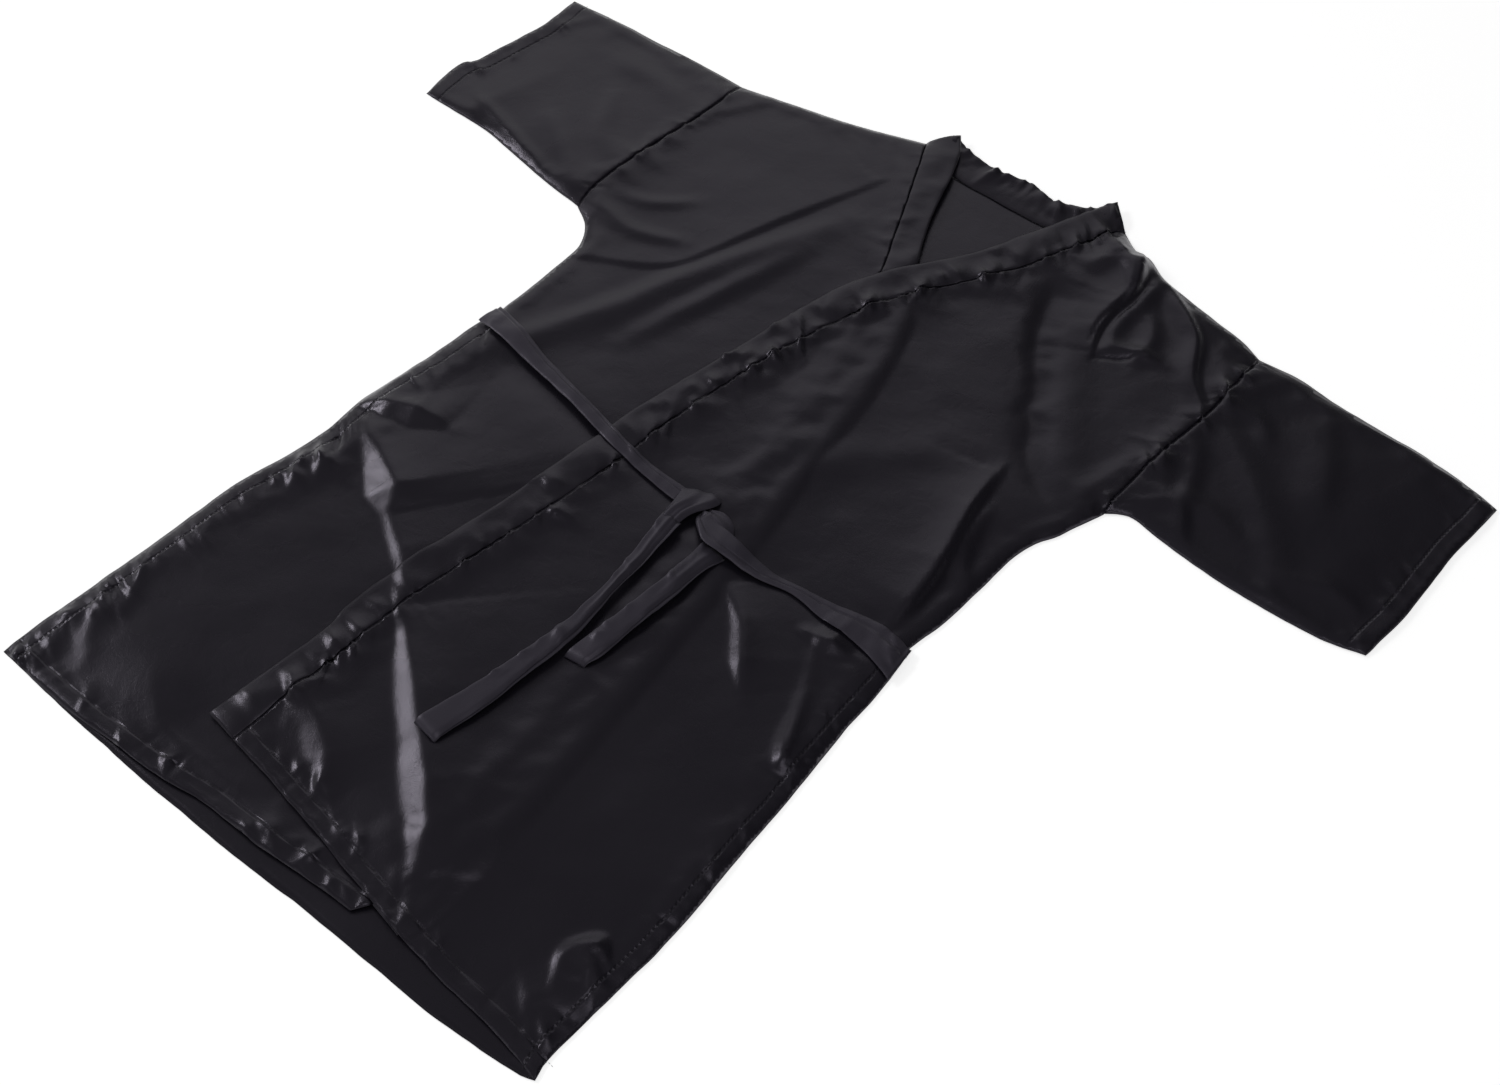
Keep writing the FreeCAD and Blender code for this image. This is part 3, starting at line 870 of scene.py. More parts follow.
def within(places: np.ndarray, border: np.ndarray) -> np.ndarray:
    """Find the places inside a closed border.

    Args:
        places: points on the floor plan.
        border: the border's corners, in the same unit.

    Returns:
        True for each place inside.
    """
    hit = np.zeros(len(places), bool)
    x, y = places[:, 0], places[:, 1]
    for (x0, y0), (x1, y1) in zip(border, np.roll(border, -1, axis=0)):
        if y0 == y1:
            continue
        crosses = (y0 > y) != (y1 > y)
        hit ^= crosses & (x < (x1 - x0) * (y - y0) / (y1 - y0) + x0)
    return hit


def enclosed(border: np.ndarray) -> float:
    """Area inside a closed border.

    Args:
        border: the border's corners in metres.

    Returns:
        Square metres, below 0 where the border runs clockwise.
    """
    x, y = border[:, 0], border[:, 1]
    return 0.5 * float(np.sum(x * np.roll(y, -1) - y * np.roll(x, -1)))


def lattice(border: np.ndarray, spacing: float) -> np.ndarray:
    """Fill a border's box with points in equal triangles.

    Args:
        border: the border's corners in metres.
        spacing: size of the triangles in metres.

    Returns:
        The points in metres.
    """
    low, high = border.min(0), border.max(0)
    rows = np.arange(low[1], high[1], spacing * math.sqrt(3) / 2)
    columns = np.arange(low[0], high[0], spacing)
    grid = [np.column_stack([columns + (index % 2) * spacing / 2, np.full(len(columns), row)])
            for index, row in enumerate(rows)]
    return np.vstack(grid)


def cloth_mesh(edges: Sequence[Points], spacing: float, fine: Sequence[Line],
               fine_spacing: float = 0.0026, fine_reach: float = 0.012
               ) -> tuple[np.ndarray, list[list[int]]]:
    """Fill an outline with small triangles, smaller beside its seams.

    Args:
        edges: the outline's runs in order round it, in millimetres.
        spacing: size of the triangles in metres.
        fine: seams that get smaller triangles.
        fine_spacing: size of those, in metres.
        fine_reach: how far from a seam they go, in metres.

    Returns:
        Points on the floor plan in metres, and the triangles.
    """
    border = np.vstack([smooth_path(edge, spacing * 0.8)[:-1] for edge in edges])
    edge_line = Line(drawn=np.vstack([border, border[:1]]))
    sets = []
    for size, wanted_fine in ((spacing, False), (fine_spacing, True)):
        if wanted_fine and not fine:
            continue
        points = lattice(border, size)
        points = points[within(points, border)]
        if fine:
            points = points[(nearest(fine, points) < fine_reach) == wanted_fine]
        points = points[np.abs(edge_line.locate(points)[1]) > size * 0.5]
        sets.append(points)
    places = np.vstack([border] + sets)
    loop = list(range(len(border)))
    if enclosed(border) < 0:
        loop.reverse()
    verts, _, faces, *_ = delaunay_2d_cdt([Vector(place) for place in places], [], [loop], 1, 1e-7)
    return np.array([tuple(vert) for vert in verts]), [list(face) for face in faces]


def add_attribute(piece: bpy.types.Object, name: str, values: np.ndarray) -> None:
    """Store one number a vertex on a piece, for its material."""
    attribute = piece.data.attributes.new(name, "FLOAT", "POINT")
    attribute.data.foreach_set("value", values.astype(np.float32))


def mark_seams(piece: bpy.types.Object, seams: Sequence[Line]) -> None:
    """Store how far each vertex is from the nearest stitches, and where along them.

    Args:
        piece: the piece whose mesh gets the attributes.
        seams: the lines of stitches.
    """
    places = np.array([tuple(vert.co)[:2] for vert in piece.data.vertices])
    near, along = np.full(len(places), 1.0), np.zeros(len(places))
    for index, line in enumerate(seams):
        reach, distance = line.locate(places)
        closer = np.abs(distance) < near
        near = np.where(closer, np.abs(distance), near)
        along = np.where(closer, reach + index * 3.0, along)
    add_attribute(piece, "seam_near", near)
    add_attribute(piece, "seam_along", along)


def thicken(piece: bpy.types.Object, depth: float, offset: float = -1.0) -> None:
    """Give a sheet its thickness.

    Args:
        piece: the sheet.
        depth: thickness in metres.
        offset: side it grows to: -1 is below the surface.
    """
    solid = piece.modifiers.new("cloth thickness", "SOLIDIFY")
    solid.thickness = depth
    solid.offset = offset
    solid.use_quality_normals = True


def outline_area(edges: Sequence[Points]) -> float:
    """Flat area inside an outline.

    Args:
        edges: the outline's runs in order round it, in millimetres.

    Returns:
        The area in square metres.
    """
    return abs(enclosed(np.vstack([smooth_path(edge, 0.01)[:-1] for edge in edges])))


# --- finishes -----------------------------------------------------------------------------------
def linear(code: str) -> tuple[float, float, float, float]:
    """Turn a colour into linear light.

    Args:
        code: sRGB as "#rrggbb".

    Returns:
        Linear RGBA.
    """
    channels = [int(code[index:index + 2], 16) / 255 for index in (1, 3, 5)]
    return (*[c / 12.92 if c <= 0.04045 else ((c + 0.055) / 1.055) ** 2.4 for c in channels], 1.0)


def add_node(tree: bpy.types.NodeTree, kind: str, settings: Optional[dict] = None,
             **sockets: object) -> bpy.types.Node:
    """Add a node to a tree.

    Args:
        tree: the node tree.
        kind: the node's type.
        settings: properties of the node itself.
        sockets: input values, or output sockets to link from, by input name with _ for a space.

    Returns:
        The new node.
    """
    node = tree.nodes.new(kind)
    for name, value in (settings or {}).items():
        setattr(node, name, value)
    for name, value in sockets.items():
        target = node.inputs[int(name[1:])] if name[1:].isdigit() else node.inputs[
            name.replace("_", " ")]
        if isinstance(value, bpy.types.NodeSocket):
            tree.links.new(value, target)
        else:
            target.default_value = value
    return node


def new_material(name: str) -> tuple[bpy.types.Material, bpy.types.NodeTree]:
    """Make an empty node material.

    Args:
        name: the material and its process.

    Returns:
        The material and its node tree.
    """
    material = bpy.data.materials.new(name)
    material.use_nodes = True
    material.node_tree.nodes.clear()
    return material, material.node_tree


# Filament satin that is pressed between hot rollers: near black, with soft-edged glints that are
# a little violet. Its threads are about 0.1 mm apart, too fine to show, so the grain is drawn at
# 1.1 mm. The creases are what is left of the folds that it was packed in.
@dataclass(frozen=True)
class Satin:
    """Woven polyester satin, dyed black and calendered."""

    name: str
    colour: str = "#17151c"
    roughness: float = 0.28
    ior: float = 1.52
    grain_mm: float = 1.1
    grain_depth: float = 0.09
    crease_mm: float = 16.0
    crease_depth: float = 0.25
    groove: bool = False
    groove_reach: float = 0.002
    groove_depth: float = 0.0005
    tint: tuple[float, float, float, float] = (0.90, 0.83, 1.0, 1.0)

    def material(self) -> bpy.types.Material:
        """Build the material.

        Returns:
            The new material.
        """
        material, tree = new_material(self.name)
        place = add_node(tree, "ShaderNodeTexCoord").outputs["Object"]
        grain = add_node(tree, "ShaderNodeTexNoise", Vector=place, Scale=1000 / self.grain_mm,
                         Detail=2.0, Roughness=0.6)
        crease = add_node(tree, "ShaderNodeTexNoise", Vector=place, Scale=1000 / self.crease_mm,
                          Detail=3.0, Roughness=0.55, Distortion=0.6)
        patch = add_node(tree, "ShaderNodeTexNoise", Vector=place, Scale=9.0, Detail=2.0)
        sheen = add_node(tree, "ShaderNodeMapRange", Value=patch.outputs["Fac"], From_Min=0.3,
                         From_Max=0.7, To_Min=self.roughness - 0.04, To_Max=self.roughness + 0.05)
        soft = add_node(tree, "ShaderNodeBump", Height=crease.outputs["Fac"],
                        Strength=1.0, Distance=self.crease_depth * MM)
        fine = add_node(tree, "ShaderNodeBump", Height=grain.outputs["Fac"], Strength=1.0,
                        Distance=self.grain_depth * MM, Normal=soft.outputs["Normal"])
        normal = fine.outputs["Normal"]
        if self.groove:
            near = add_node(tree, "ShaderNodeAttribute", {"attribute_name": "seam_near"})
            dip = add_node(tree, "ShaderNodeMapRange", {"interpolation_type": "SMOOTHSTEP"},
                           Value=near.outputs["Fac"], From_Min=0.0, From_Max=self.groove_reach)
            normal = add_node(tree, "ShaderNodeBump", Height=dip.outputs["Result"], Strength=1.0,
                              Distance=self.groove_depth, Normal=normal).outputs["Normal"]
        cloth = add_node(tree, "ShaderNodeBsdfPrincipled", Base_Color=linear(self.colour),
                         Roughness=sheen.outputs["Result"], IOR=self.ior, Normal=normal,
                         Specular_Tint=self.tint)
        out = add_node(tree, "ShaderNodeOutputMaterial")
        tree.links.new(cloth.outputs["BSDF"], out.inputs["Surface"])
        return material


# Spun from short fibres, so it is matt and reads as dark dashes on the glossy cloth.
@dataclass(frozen=True)
class Thread:
    """Spun polyester sewing thread, dyed black, with its twist drawn as fine bands."""

    name: str = "Black spun polyester thread"
    colour: str = "#070708"
    roughness: float = 0.8

    def material(self) -> bpy.types.Material:
        """Build the material.

        Returns:
            The new material.
        """
        material, tree = new_material(self.name)
        place = add_node(tree, "ShaderNodeTexCoord").outputs["Object"]
        twist = add_node(tree, "ShaderNodeTexNoise", Vector=place, Scale=2500.0, Detail=1.0)
        bump = add_node(tree, "ShaderNodeBump", Height=twist.outputs["Fac"], Strength=0.6,
                        Distance=0.0001)
        thread = add_node(tree, "ShaderNodeBsdfPrincipled", Base_Color=linear(self.colour),
                          Roughness=self.roughness, IOR=1.54, Normal=bump.outputs["Normal"])
        out = add_node(tree, "ShaderNodeOutputMaterial")
        tree.links.new(thread.outputs["BSDF"], out.inputs["Surface"])
        return material


# --- pieces -------------------------------------------------------------------------------------
@dataclass
class Workshop:
    """What every piece is made with: how the gown lies, and its finishes."""

    lie: Lie
    body_satin: bpy.types.Material
    band_satin: bpy.types.Material
    # the body's satin painted lighter for the ties, knot and tails: painted light
    tie_satin_painted_lighter: bpy.types.Material
    thread: bpy.types.Material


class Sewn(Protocol):
    """A piece of the gown that can be made and laid."""

    def build(self, shop: Workshop) -> bpy.types.Object:
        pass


@dataclass
class Panel:
    """A flat-cut panel of the gown: the back or one of the fronts.

    Its flat size and the size of its mesh's triangles are in metres.
    """

    node: str
    edges: Sequence[Points]
    seams: Sequence[Line]
    flat: tuple[float, float]
    layer: Layer
    spacing: float = 0.0039
    rests_on: Sequence[str] = ()
    creases: Sequence[Line] = ()

    def build(self, shop: Workshop) -> bpy.types.Object:
        """Args:
            shop: how the gown lies and its finishes.

        Returns:
            The finished piece.
        """
        plan, faces = cloth_mesh(self.edges, self.spacing, [*self.seams, *self.creases])
        height = self.layer.height(shop.lie, plan)
        piece = mesh_object(self.node + "_cloth", np.column_stack([plan, height]), faces)
        mark_seams(piece, self.seams or [Line(HEM_BACK)])
        shop.lie.drift(piece)
        thicken(piece, CLOTH)
        piece.data.materials.append(shop.body_satin)
        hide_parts(self.node)
        list(self.rests_on)
        min(outline_area(self.edges) * CUT_MARGIN, self.flat[0] * self.flat[1])
        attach(piece, "gown")
        return piece


@dataclass
class Sleeve:
    """A short, wide sleeve pressed flat, folded along its top and its underarm.

    Its bend holds two places across the gown, and fold_reach is the reach of its folded edges;
    both are in millimetres. The flat size and the size of the mesh's triangles are in metres.
    """

    node: str
    edges: Sequence[Points]
    open_runs: Sequence[int]
    seams: Sequence[Line]
    left: bool
    bend: tuple[float, float]
    flat: tuple[float, float] = (0.47, 0.24)
    spacing: float = 0.0045
    fold_reach: float = 0.6

    def build(self, shop: Workshop) -> bpy.types.Object:
        """Make the sleeve as one cloth with an upper and a lower layer.

        Args:
            shop: how the gown lies and its finishes.

        Returns:
            The finished piece.
        """
        plan, faces = cloth_mesh(self.edges, self.spacing, self.seams)
        upper = shop.lie.front(plan, self.left)
        lower = shop.lie.back(plan)
        shut = [Line(run) for index, run in enumerate(self.edges) if index not in self.open_runs]
        fold = nearest(shut, plan) < self.fold_reach * MM
        upper = np.where(fold, shop.lie.layer * MM, upper)
        count = len(plan)
        renumber = np.where(fold, np.arange(count), np.arange(count) + count)
        corners = np.vstack([np.column_stack([plan, upper]), np.column_stack([plan, lower])])
        both = [list(face) for face in faces]
        both += [[int(renumber[corner]) for corner in reversed(face)] for face in faces]
        piece = mesh_object(self.node + "_cloth", corners, both)
        delete_points(piece, np.flatnonzero(fold) + count)
        mark_seams(piece, self.seams)
        shop.lie.drift(piece)
        thicken(piece, CLOTH)
        piece.data.materials.append(shop.body_satin)
        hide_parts(self.node)
        min(2 * outline_area(self.edges) * CUT_MARGIN, self.flat[0] * self.flat[1])
        start, end = self.bend
        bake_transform(piece)
        return piece


def delete_points(piece: bpy.types.Object, numbers: Sequence[int]) -> None:
    """Remove vertices that no face uses.

    Args:
        piece: the piece, changed in place.
        numbers: the vertices' numbers.
    """
    work = bmesh.new()
    work.from_mesh(piece.data)
    work.verts.ensure_lookup_table()
    bmesh.ops.delete(work, geom=[work.verts[int(number)] for number in numbers],
                     context="VERTS")
    work.to_mesh(piece.data)
    work.free()


def ribbon(name: str, left: np.ndarray, right: np.ndarray, top: Surface, thick: float,
           across: int = 11, square: float = 5.0, step: float = 0.003) -> bpy.types.Object:
    """Make a flat strip of folded cloth between two edges.

    Args:
        name: the piece's name.
        left: points of one edge in metres; a third column adds to the height.
        right: points of the other edge, the same kind.
        top: function of (places, share across, share along) that gives the upper surface's height.
        thick: thickness in metres at the middle.
        across: points from edge to edge.
        square: how square the section's sides are.
        step: distance between the strip's cross-sections in metres.

    Returns:
        The closed strip, at the origin.
    """
    lengths = [np.r_[0, np.cumsum(np.linalg.norm(np.diff(edge[:, :2], axis=0), axis=1))]
               for edge in (left, right)]
    count = max(4, int(max(lengths[0][-1], lengths[1][-1]) / step) + 1)
    stations = np.linspace(0, 1, count)
    a, b = [np.column_stack([np.interp(stations, length / length[-1], edge[:, axis])
                             for axis in range(edge.shape[1])])
            for edge, length in zip((left, right), lengths)]
    share = 0.5 - 0.5 * np.cos(np.linspace(0, math.pi, across))
    s, t = np.meshgrid(share, stations)
    grid = a[:, None, :] + (b - a)[:, None, :] * s[..., None]
    places = grid[..., :2].reshape(-1, 2)
    height = top(places, s.ravel(), t.ravel()).reshape(s.shape)
    if grid.shape[2] > 2:
        height = height + grid[..., 2]
    depth = thick * np.sqrt(np.clip(1 - np.abs(2 * s - 1) ** square, 0, 1))
    upper = np.dstack([grid[..., :2], height - (thick - depth) / 2])
    lower = np.dstack([grid[..., :2], height - (thick + depth) / 2])
    ring = np.concatenate([upper, lower[:, -2:0:-1]], axis=1)
    size = ring.shape[1]
    corners = ring.reshape(-1, 3)
    faces = []
    for row in range(count - 1):
        for column in range(size):
            beyond = (column + 1) % size
            faces.append([row * size + column, row * size + beyond,
                          (row + 1) * size + beyond, (row + 1) * size + column])
    faces.append(list(range(size)))
    faces.append([(count - 1) * size + column for column in reversed(range(size))])
    piece = mesh_object(name, corners, faces)
    along = np.repeat(stations * lengths[0][-1], size)
    near = np.tile(np.r_[np.minimum(share, 1 - share), np.minimum(share, 1 - share)[-2:0:-1]],
                   count)
    add_attribute(piece, "seam_near", near * 0.03)
    add_attribute(piece, "seam_along", along)
    outward(piece)
    return piece


def outward(piece: bpy.types.Object) -> None:
    """Turn a closed mesh's faces outwards.

    Args:
        piece: the piece, changed in place.
    """
    work = bmesh.new()
    work.from_mesh(piece.data)
    bmesh.ops.recalc_face_normals(work, faces=work.faces)
    work.to_mesh(piece.data)
    work.free()


def strip_size(left: np.ndarray, right: np.ndarray) -> tuple[float, float]:
    """Measure a strip between two edges.

    Args:
        left: points of one edge in metres.
        right: points of the other.

    Returns:
        Mean width and length in metres.
    """
    length = 0.5 * sum(float(np.linalg.norm(np.diff(edge[:, :2], axis=0), axis=1).sum())
                       for edge in (left, right))
    other = right[np.linalg.norm(right[:, None, :2] - left[None, :, :2], axis=2).argmin(0)]
    width = float(np.linalg.norm(other[:, :2] - left[:, :2], axis=1).mean())
    return width, length


@dataclass
class Strip:
    """A doubled strip of satin: a band, a tie or a tail.

    Its edges and thickness are in millimetres. Square tells how square the section's sides are,
    and across is the number of points from edge to edge.
    """

    node: str
    left: Points
    right: Points
    thick: float = 1.6
    body: str = "gown"
    bend: Optional[Bend] = None
    square: float = 5.0
    across: int = 11
    plies: int = 1
    tied: bool = False

    def top(self, lie: Lie, places: np.ndarray, s: np.ndarray, t: np.ndarray) -> np.ndarray:
        """Height of the strip's upper surface.

        Args:
            lie: how the gown lies.
            places: points on the floor plan, in metres.
            s: share of the way across at each place.
            t: share of the way along.

        Returns:
            Heights in metres.
        """
        raise NotImplementedError

    def cloth(self, lie: Lie, left: np.ndarray, right: np.ndarray) -> bpy.types.Object:
        """Make the strip's mesh between its edges.

        Args:
            lie: how the gown lies.
            left: points of one edge in metres.
            right: points of the other.

        Returns:
            The closed mesh, at the origin.
        """
        return ribbon(self.node + "_cloth", left, right,
                      lambda places, s, t: self.top(lie, places, s, t),
                      self.thick * MM, self.across, self.square)

    def build(self, shop: Workshop) -> bpy.types.Object:
        """Args:
            shop: how the gown lies and its finishes.

        Returns:
            The finished piece.
        """
        left, right = smooth_path(self.left, EDGE_STEP), smooth_path(self.right, EDGE_STEP)
        piece = self.cloth(shop.lie, left, right)
        shop.lie.drift(piece)
        piece.data.materials.append(shop.tie_satin_painted_lighter if self.tied else shop.band_satin)
        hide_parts(self.node)
        width, length = strip_size(left, right)
        if self.bend:
            start, end = self.bend
            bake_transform(piece)
        else:
            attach(piece, self.body)
        return piece


@dataclass
class FrontBand(Strip):
    """The neck band down a front edge."""

    left_front: bool = True
    seed: int = 5

    def top(self, lie: Lie, places: np.ndarray, s: np.ndarray, t: np.ndarray) -> np.ndarray:
        """Height of the band's upper surface, a little wavy and crowned.

        Args:
            lie: how the gown lies.
            places: points on the floor plan, in metres.
            s: share of the way across at each place.
            t: share of the way along.

        Returns:
            Heights in metres.
        """
        height = lie.front(places, self.left_front) + 0.9 * MM
        waves = Ripples(seed=self.seed, height=0.35, longest=70, shortest=22)
        return height + waves.rise(places) * ease(s, 0.05, 0.4) + 0.35 * MM * np.sin(
            math.pi * np.clip(s, 0, 1))


@dataclass
class NapeBand(Strip):
    """The band round the back of the neck, which stands up a little and is rumpled."""

    def top(self, lie: Lie, places: np.ndarray, s: np.ndarray, t: np.ndarray) -> np.ndarray:
        """Height of the band's upper surface: gathered cloth that climbs to the neck edge.

        Args:
            lie: how the gown lies.
            places: points on the floor plan, in metres.
            s: share of the way across at each place.
            t: share of the way along.

        Returns:
            Heights in metres.
        """
        waves = Ripples(seed=51, height=1.1, longest=46, shortest=9, count=20)
        gathers = Puckers(Line(NAPE_EDGE), 52, gap=5, depth=1.2, reach=14, clusters=0.3)
        creases = Nicks(Line(inside(NAPE_EDGE, -9)), 53, 24, slope=0.85, width=2.6, reach=9.0,
                        scatter=10.0)
        ends = 1 - 0.35 * np.sin(math.pi * t)
        crumple = waves.rise(places) + gathers.rise(places) + creases.rise(places)
        return np.maximum(2.4 + 4.0 * s * ends + crumple * ease(s, 0.0, 0.4) / MM, 2.2) * MM


@dataclass
class Tie(Strip):
    """A tie that runs from the side seam to the knot, with a fold along it."""

    seed: int = 61
    puff: float = 0.8
    tied: bool = True
    knot_end: bool = True
    across: int = 27
    square: float = 9.0
    crossing: tuple[float, float] = (0.35, 0.6)

    def top(self, lie: Lie, places: np.ndarray, s: np.ndarray, t: np.ndarray) -> np.ndarray:
        """Height of the tie's upper surface, which a crease crosses from one edge to the other.

        Args:
            lie: how the gown lies.
            places: points on the floor plan, in metres.
            s: share of the way across at each place.
            t: share of the way along.

        Returns:
            Heights in metres.
        """
        height = lie.front(places, True) + (self.thick + 0.4) * MM
        line = self.crossing[0] + (self.crossing[1] - self.crossing[0]) * t
        line = line + 0.05 * np.sin(9 * t + self.seed)
        crown = self.puff * MM * np.sin(math.pi * np.clip(s, 0, 1)) ** 0.8
        step = 0.9 * MM * ease(s - line, -0.02, 0.05)
        crease = -1.0 * MM * np.exp(-((s - line) / 0.035) ** 2)
        waves = Ripples(seed=self.seed, height=0.75, longest=60, shortest=9, count=20)
        rise = MM * (0.5 * ease(t, 0.82, 1.0) if self.knot_end else 7.0 * (1 - ease(t, 0.12, 0.42)))
        return height + crown + step + crease + waves.rise(places) + rise


@dataclass
class Tail(Strip):
    """A loose end of a tie that hangs from the knot: two plies, the lower one a little wider.

    Its bend holds two places below the knot, each as y and z in millimetres.
    """

    thick: float = 1.5
    bend: Optional[Bend] = ((-64, 19.8), (-90, 19.8))
    seed: int = 71
    twist: float = 0.0
    lift: float = 5.0
    tied: bool = True
    across: int = 23
    square: float = 9.0
    plies: int = 2
    arch: float = 5.0
    ply_gap: float = 2.4

    def top(self, lie: Lie, places: np.ndarray, s: np.ndarray, t: np.ndarray) -> np.ndarray:
        """Height of the upper ply, which arches over the front and rolls down at its cut end.

        Args:
            lie: how the gown lies.
            places: points on the floor plan, in metres.
            s: share of the way across at each place.
            t: share of the way along.

        Returns:
            Heights in metres.
        """
        rest = lie.front(places, True) + (self.thick + 3.2) * MM
        drop = ease(places[:, 1] / MM, -110, -62)
        pleat = self.twist * MM * np.exp(-((s - 0.55 - 0.25 * t) / 0.14) ** 2) * (
            1 - ease(t, 0.25, 0.5))
        waves = Ripples(seed=self.seed, height=0.55, longest=80, shortest=12, count=20)
        nips = Nicks(Line(self.left), self.seed, 9, slope=0.6, width=3.0, reach=7.0, scatter=5.0)
        arch = self.arch * MM * np.sin(math.pi * np.clip(t, 0, 1)) ** 0.7
        edge = -1.2 * MM * ease(s, 0.8, 1.0)
        roll = -2.4 * MM * ease(t, 1 - 5 * MM / Line(self.left).length, 1.0)
        return rest + self.lift * MM * drop + pleat + arch + edge + roll + waves.rise(
            places) + nips.rise(places)

    def cloth(self, lie: Lie, left: np.ndarray, right: np.ndarray) -> bpy.types.Object:
        """Make both plies and join them.

        Args:
            lie: how the gown lies.
            left: points of one edge in metres.
            right: points of the other.

        Returns:
            The closed mesh, at the origin.
        """
        upper = super().cloth(lie, left, right)
        share = np.linspace(0, 1, len(right))[:, None]
        wide = (2.2 + 0.9 * np.sin(11 * share + self.seed)) * MM * (1 - 0.8 * ease(share, 0.85, 1))
        lower = ribbon(self.node + "_lower", left, right + leftward(right) * wide,
                       lambda places, s, t: self.top(lie, places, 0.5 * s, t) - self.ply_gap * MM,
                       0.8 * MM, 11, self.square)
        return join([upper, lower], self.node + "_cloth")


@dataclass
class Knot:
    """The half knot: one tie passes over the other and down, with pleats along it.

    The foot is the place that it stands on. Its rise and the ties' thickness are in millimetres,
    and the step between cross-sections is in metres.
    """

    node: str = "tie_knot"
    foot: tuple[float, float] = (30, -40)
    foot_rise: float = 1.9
    thick: float = 1.6
    step: float = 0.0013

    def saddle(self, base: float, s: np.ndarray, t: np.ndarray) -> np.ndarray:
        """Height of the tie that passes over, from the fold at its top down to the tail.

        Args:
            base: height that the knot stands on, in metres.
            s: share of the way across at each place.
            t: share of the way along.

        Returns:
            Heights in metres.
        """
        crest = 10.0 * MM * np.sin(math.pi * np.clip(0.03 + 0.62 * t, 0, 1)) ** 0.55
        pleats = 0.7 * MM * np.cos(2 * math.pi * (2.2 * s + 0.4 * t) + 0.8)
        valley = -2.0 * MM * np.exp(-((s - 0.66) / 0.07) ** 2) * ease(t, 0.2, 0.6)
        edge = -2.2 * MM * np.abs(2 * s - 1) ** 4
        return base + crest + pleats + edge + valley

    def roll(self, base: float, s: np.ndarray, t: np.ndarray) -> np.ndarray:
        """Height of the pleated roll where the other tie comes out from under.

        Args:
            base: height that the knot stands on, in metres.
            s: share of the way across at each place.
            t: share of the way along.

        Returns:
            Heights in metres.
        """
        crest = 7.0 * MM * np.sin(math.pi * np.clip(0.12 + 0.66 * t, 0, 1)) ** 0.6
        pleats = 1.2 * MM * np.cos(2 * math.pi * (1.9 * s - 0.5 * t) + 1.0)
        edge = -2.4 * MM * np.abs(2 * s - 1) ** 4
        return base + crest + pleats + edge

    def build(self, shop: Workshop) -> bpy.types.Object:
        """Make the knot's saddle and the roll beside it, as one piece.

        Args:
            shop: how the gown lies and its finishes.

        Returns:
            The finished piece.
        """
        base = float(shop.lie.front(mm([self.foot]), True)[0]) + self.foot_rise * MM
        over = ribbon("tie_knot_over",
                      smooth_path([(10, -30), (14, -36), (18, -50), (20, -67)], MM),
                      smooth_path([(41, -17), (47, -23), (46, -33), (39, -51), (37, -67)], MM),
                      lambda places, s, t: self.saddle(base, s, t),
                      self.thick * MM, 29, 5.0, self.step)
        beside = ribbon("tie_knot_beside",
                        smooth_path([(41, -44), (44, -50), (50, -56), (60, -62)], MM),
                        smooth_path([(46, -33), (58, -30), (70, -34), (78, -42)], MM),
                        lambda places, s, t: self.roll(base, s, t),
                        self.thick * MM, 25, 5.0, self.step)
        piece = join([over, beside], self.node + "_cloth")
        shop.lie.drift(piece)
        piece.data.materials.append(shop.tie_satin_painted_lighter)
        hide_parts(self.node)
        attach(piece, "gown")
        return piece


def join(pieces: Sequence[bpy.types.Object], name: str) -> bpy.types.Object:
    """Put several meshes into one object.

    Args:
        pieces: the objects, which are used up.
        name: the new object's name.

    Returns:
        The new object.
    """
    work = bmesh.new()
    for piece in pieces:
        work.from_mesh(piece.data)
        discard(piece)
    mesh = bpy.data.meshes.new(name)
    work.to_mesh(mesh)
    work.free()
    return add_object(name, mesh)


@dataclass
class SeamAllowance:
    """The trimmed, overlocked edges of a seam inside the gown, with sizes in millimetres."""

    node: str
    path: Points
    inset: float
    width: float = 10.0
    rise: float = 1.1

    def build(self, shop: Workshop) -> bpy.types.Object:
        """Make the strip that lies inside the gown along the seam.

        Args:
            shop: how the gown lies and its finishes.

        Returns:
            The finished piece.
        """
        sign = math.copysign(1, self.inset)
        near = smooth_path(inside(self.path, self.inset), 0.003)
        far = smooth_path(inside(self.path, self.inset + sign * self.width), 0.003)
        piece = ribbon(self.node + "_cloth", near, far,
                       lambda places, s, t: shop.lie.back(places) + self.rise * MM,
                       0.8 * MM, 5, 5.0, 0.006)
        shop.lie.drift(piece)
        piece.data.materials.append(shop.body_satin)
        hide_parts(self.node)
        width, length = strip_size(near, far)
        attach(piece, "gown")
        return piece


